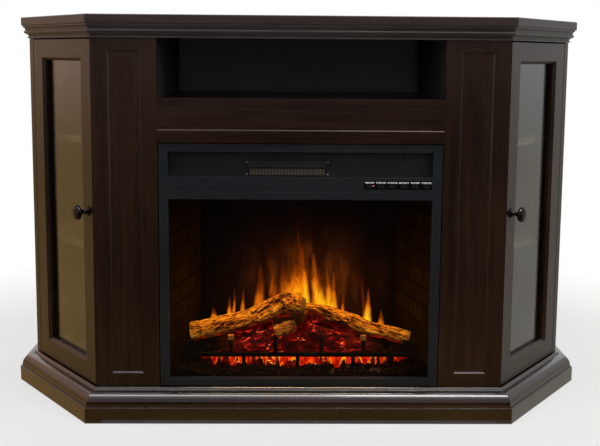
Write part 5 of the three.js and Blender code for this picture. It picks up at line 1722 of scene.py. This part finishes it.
        FlameSheet("flame_tongues", 188.6, [
            tongue(tip=(282, 258), foot=(284, 296), width=15, heat=0.42, veil=0.55, sway=3),
            tongue(tip=(275, 268), foot=(276, 300), width=12, heat=0.4, veil=0.5, sway=-3),
            tongue(tip=(292, 250), foot=(294, 296), width=15, heat=0.55, veil=0.6, sway=4),
            tongue(tip=(261, 262), foot=(259, 311), width=13, heat=0.5, veil=0.75, sway=2, slender=0.8),
            tongue(tip=(298, 226), foot=(300, 296), width=12, heat=0.46, veil=0.7, sway=4, slender=1.2),
            tongue(tip=(269, 247), foot=(271, 296), width=5, heat=0.35, veil=0.4, sway=5),
            tongue(tip=(296, 262), foot=(296, 294), width=20, heat=0.85, veil=0.8, sway=2),
            tongue(tip=(303, 243), foot=(308, 310), width=11, heat=1.15, veil=1.0, sway=-3, slender=1.1),
            tongue(tip=(316, 258), foot=(315, 313), width=10, heat=0.6, veil=0.7, sway=2),
            tongue(tip=(313, 252), foot=(324, 317), width=16, heat=1.4, veil=1.0, sway=-5, slender=0.85),
            tongue(tip=(327, 264), foot=(328, 318), width=10, heat=1.25, veil=0.95, sway=3),
            tongue(tip=(334, 270), foot=(333.5, 319), width=10, heat=1.3, veil=1.0, sway=1),
            tongue(tip=(338, 294), foot=(338, 320), width=4, heat=0.8, veil=0.8),
            tongue(tip=(344.5, 289), foot=(342, 322), width=6, heat=0.75, veil=0.85, sway=1),
            tongue(tip=(362, 262), foot=(367, 325), width=5, heat=0.3, veil=0.35, sway=-4),
            tongue(tip=(369, 286), foot=(367.5, 329), width=13, heat=1.4, veil=1.0, sway=1, slender=1.3),
            tongue(tip=(382, 309), foot=(381, 332), width=11, heat=1.0, veil=0.95, sway=1),
            tongue(tip=(235, 285), foot=(234.5, 314), width=4, heat=0.55, veil=0.7, sway=1),
            tongue(tip=(244.5, 287), foot=(243.5, 319), width=6.5, heat=0.85, veil=0.9, sway=-1),
            tongue(tip=(230.5, 295), foot=(230, 320), width=6.5, heat=0.8, veil=0.85),
            tongue(tip=(213.6, 307), foot=(215, 322), width=10, heat=0.85, veil=0.9, sway=1),
            tongue(tip=(307, 254), foot=(303, 296), width=8, heat=0.6, veil=0.6, sway=4),
            tongue(tip=(320, 270), foot=(320, 315), width=12, heat=0.8, veil=0.7),
            tongue(tip=(288, 268), foot=(289, 296), width=12, heat=0.6, veil=0.6),
        ]).build()

    def build(self) -> None:
        """Makes the fire."""
        dress(Brick("dark_brick"), "firebox_liner")
        dress(SmokedScreen("smoked_screen"), "flame_screen")
        dress(CastIron("grate_iron"), "grate")
        self.logs()
        self.charred()
        self.bed()
        self.under_glow()
        self.flames()


# ---------------------------------------------------------------- studio


@dataclass
class Studio:
    """Floor, lamps, white surroundings and the camera."""

    lens: float = 51.958
    shift_y: float = -0.12
    station: tuple[float, float, float] = (-0.0285, -1.8822, 0.7454)
    yaw: float = 0.015526
    pitch: float = -0.112187
    roll: float = 0.007968
    world_fill: float = 0.5

    def camera(self) -> None:
        """The camera at the viewing angle of the reference."""
        ahead = Vector((math.sin(self.yaw) * math.cos(self.pitch), math.cos(self.yaw) * math.cos(self.pitch),
                        math.sin(self.pitch)))
        right = Vector((math.cos(self.yaw), -math.sin(self.yaw), 0))
        up = right.cross(ahead)
        across = right * math.cos(self.roll) + up * math.sin(self.roll)
        above = up * math.cos(self.roll) - right * math.sin(self.roll)
        data = bpy.data.cameras.new("camera")
        data.lens, data.sensor_width, data.sensor_fit = self.lens, 36.0, "HORIZONTAL"
        data.shift_y = self.shift_y
        obj = bpy.data.objects.new("camera", data)
        turn = Matrix((across, above, -ahead)).transposed().to_4x4()
        obj.matrix_world = Matrix.Translation(self.station) @ turn
        bpy.context.scene.collection.objects.link(obj)
        bpy.context.scene.camera = obj

    def lamp(self, name: str, place: Vector, target: Vector, size: Pair, power: float,
             colour: Colour = (1, 1, 1), spread: float = 180, matt: bool = True, gloss: bool = True) -> None:
        """One soft rectangular lamp aimed at a target.

        Args:
            name: the lamp's name.
            place: where it hangs.
            target: what it points at.
            size: its width and height.
            power: its power in watts.
            colour: its colour.
            spread: how wide its beam opens, in degrees.
            matt: whether it lights matt surfaces.
            gloss: whether it shows in glossy ones.
        """
        data = bpy.data.lights.new(name, "AREA")
        data.color, data.spread = colour, math.radians(spread)
        data.shape, data.size, data.size_y, data.energy = "RECTANGLE", size[0], size[1], power
        obj = bpy.data.objects.new(name, data)
        aim = (target - place).to_track_quat("-Z", "Y").to_matrix().to_4x4()
        obj.matrix_world = Matrix.Translation(place) @ aim
        obj.visible_camera = False
        obj.visible_diffuse, obj.visible_glossy = matt, gloss
        bpy.context.scene.collection.objects.link(obj)

    def surroundings(self) -> None:
        """White to the camera and in reflections, a plain fill for the rest."""
        world = bpy.data.worlds.new("studio")
        world.use_nodes = True
        world.node_tree.nodes.clear()
        tree = Tree(world.node_tree)
        strength = tree.span(tree.seen(), 0.0, 1.0, self.world_fill, 1.0, smooth=False)
        background = tree.add("ShaderNodeBackground", {"Color": (1, 1, 1), "Strength": strength})
        tree.add("ShaderNodeOutputWorld", {"Surface": background.outputs[0]})
        bpy.context.scene.world = world

    def card(self, corners: list[tuple[float, float, float]], finish: RoomTone,
             gloss_only: bool = True) -> None:
        """A flat card that only its reflection shows, as a stand for one side of a room.

        Args:
            corners: its four corners.
            finish: its tones.
            gloss_only: whether it leaves the light on matt surfaces as it is.
        """
        mesh = bpy.data.meshes.new(finish.name)
        mesh.from_pydata(corners, [], [(0, 1, 2, 3)])
        obj = new_piece(finish.name, mesh, finish, None)
        obj.visible_camera = False
        obj.visible_shadow = False
        obj.visible_diffuse = not gloss_only

    def floor(self) -> None:
        """A wide pale floor, and the cards that stand for the darker parts of the room."""
        mesh = bpy.data.meshes.new("floor")
        half, level = 9, -0.0005
        corners = [(-half, -half, level), (half, -half, level), (half, half, level), (-half, half, level)]
        mesh.from_pydata(corners, [], [(0, 1, 2, 3)])
        new_piece("floor", mesh, Floor("pale_floor"), None)
        self.card([(-3, -3.2, 0), (3, -3.2, 0), (3, -3.2, 3.2), (-3, -3.2, 3.2)],
                  RoomTone("front_flag", (0.6, 0.55, 0.6), (0.006, 0.005, 0.004), 0.82, 0.16), False)
        warm, pale = (0.54, 0.33, 0.13), (0.56, 0.53, 0.47)
        mats = (("front_mat", (-3, -3.2, 3, -0.7), (0.035, 0.018, 0.006)),
                ("near_mat", (-3, -0.7, 3, -0.215), (0.34, 0.21, 0.07)),
                ("left_mat", (-3.4, -0.215, -0.4, 3.4), warm), ("right_mat", (0.4, -0.215, 3.4, 3.4), pale))
        for name, (x0, y0, x1, y1), tone in mats:
            self.card([(x0, y0, 0.001), (x1, y0, 0.001), (x1, y1, 0.001), (x0, y1, 0.001)],
                      RoomTone(name, tone, tone))
        for name, x, tone, foot in (("left_wall", -3.4, (0.98, 0.64, 0.50), warm),
                                    ("right_wall", 3.4, (0.84, 0.85, 0.86), pale)):
            self.card([(x, -0.9, 0), (x, 4.2, 0), (x, 4.2, 2.6), (x, -0.9, 2.6)], RoomTone(name, tone, foot))

    def build(self) -> None:
        """Makes the studio."""
        scene = bpy.context.scene
        scene.view_settings.view_transform = "Standard"
        self.camera()
        self.surroundings()
        self.floor()
        middle = Vector((0, 0, 0.42))
        self.lamp("overhead", Vector((0.1, -0.75, 2.3)), Vector((0.1, -0.6, 0)), (2.6, 0.9), 12)
        self.lamp("strip", Vector((0, -0.62, 2.25)), Vector((0, -0.5, 0)), (2.6, 0.4), 22, matt=False)
        self.lamp("strip_right", Vector((0.62, -0.62, 2.2)), Vector((0.62, -0.5, 0)), (0.85, 0.4), 16,
                  matt=False)
        self.lamp("bay_light", Vector((0, -1.1, 0.725)), Vector((0, 0.2, 0.725)), (0.8, 0.08), 0.028,
                  (0.82, 0.9, 1.0), 12, gloss=False)
        self.lamp("log_light", at(0, 60, 450), at(0, 108, 170), (0.42, 0.02), 0.76, (1.0, 0.58, 0.16), 42,
                  gloss=False)
        self.lamp("left", Vector((-2.3, -1.6, 1.6)), middle, (1.2, 1.4), 12, gloss=False)
        self.lamp("right", Vector((2.3, -1.5, 1.6)), middle, (1.2, 1.4), 18, gloss=False)


def main() -> None:
    """Builds every part in order."""
    logging.basicConfig(level=logging.INFO, format="%(name)s %(message)s")
    parts = [Studio(), Cabinet(), GlazedDoor("left"), GlazedDoor("right"), Insert(), Fire()]
    for part in parts:
        part.build()
        LOG.info("built %s", type(part).__name__)


if __name__ == "__main__":
    main()
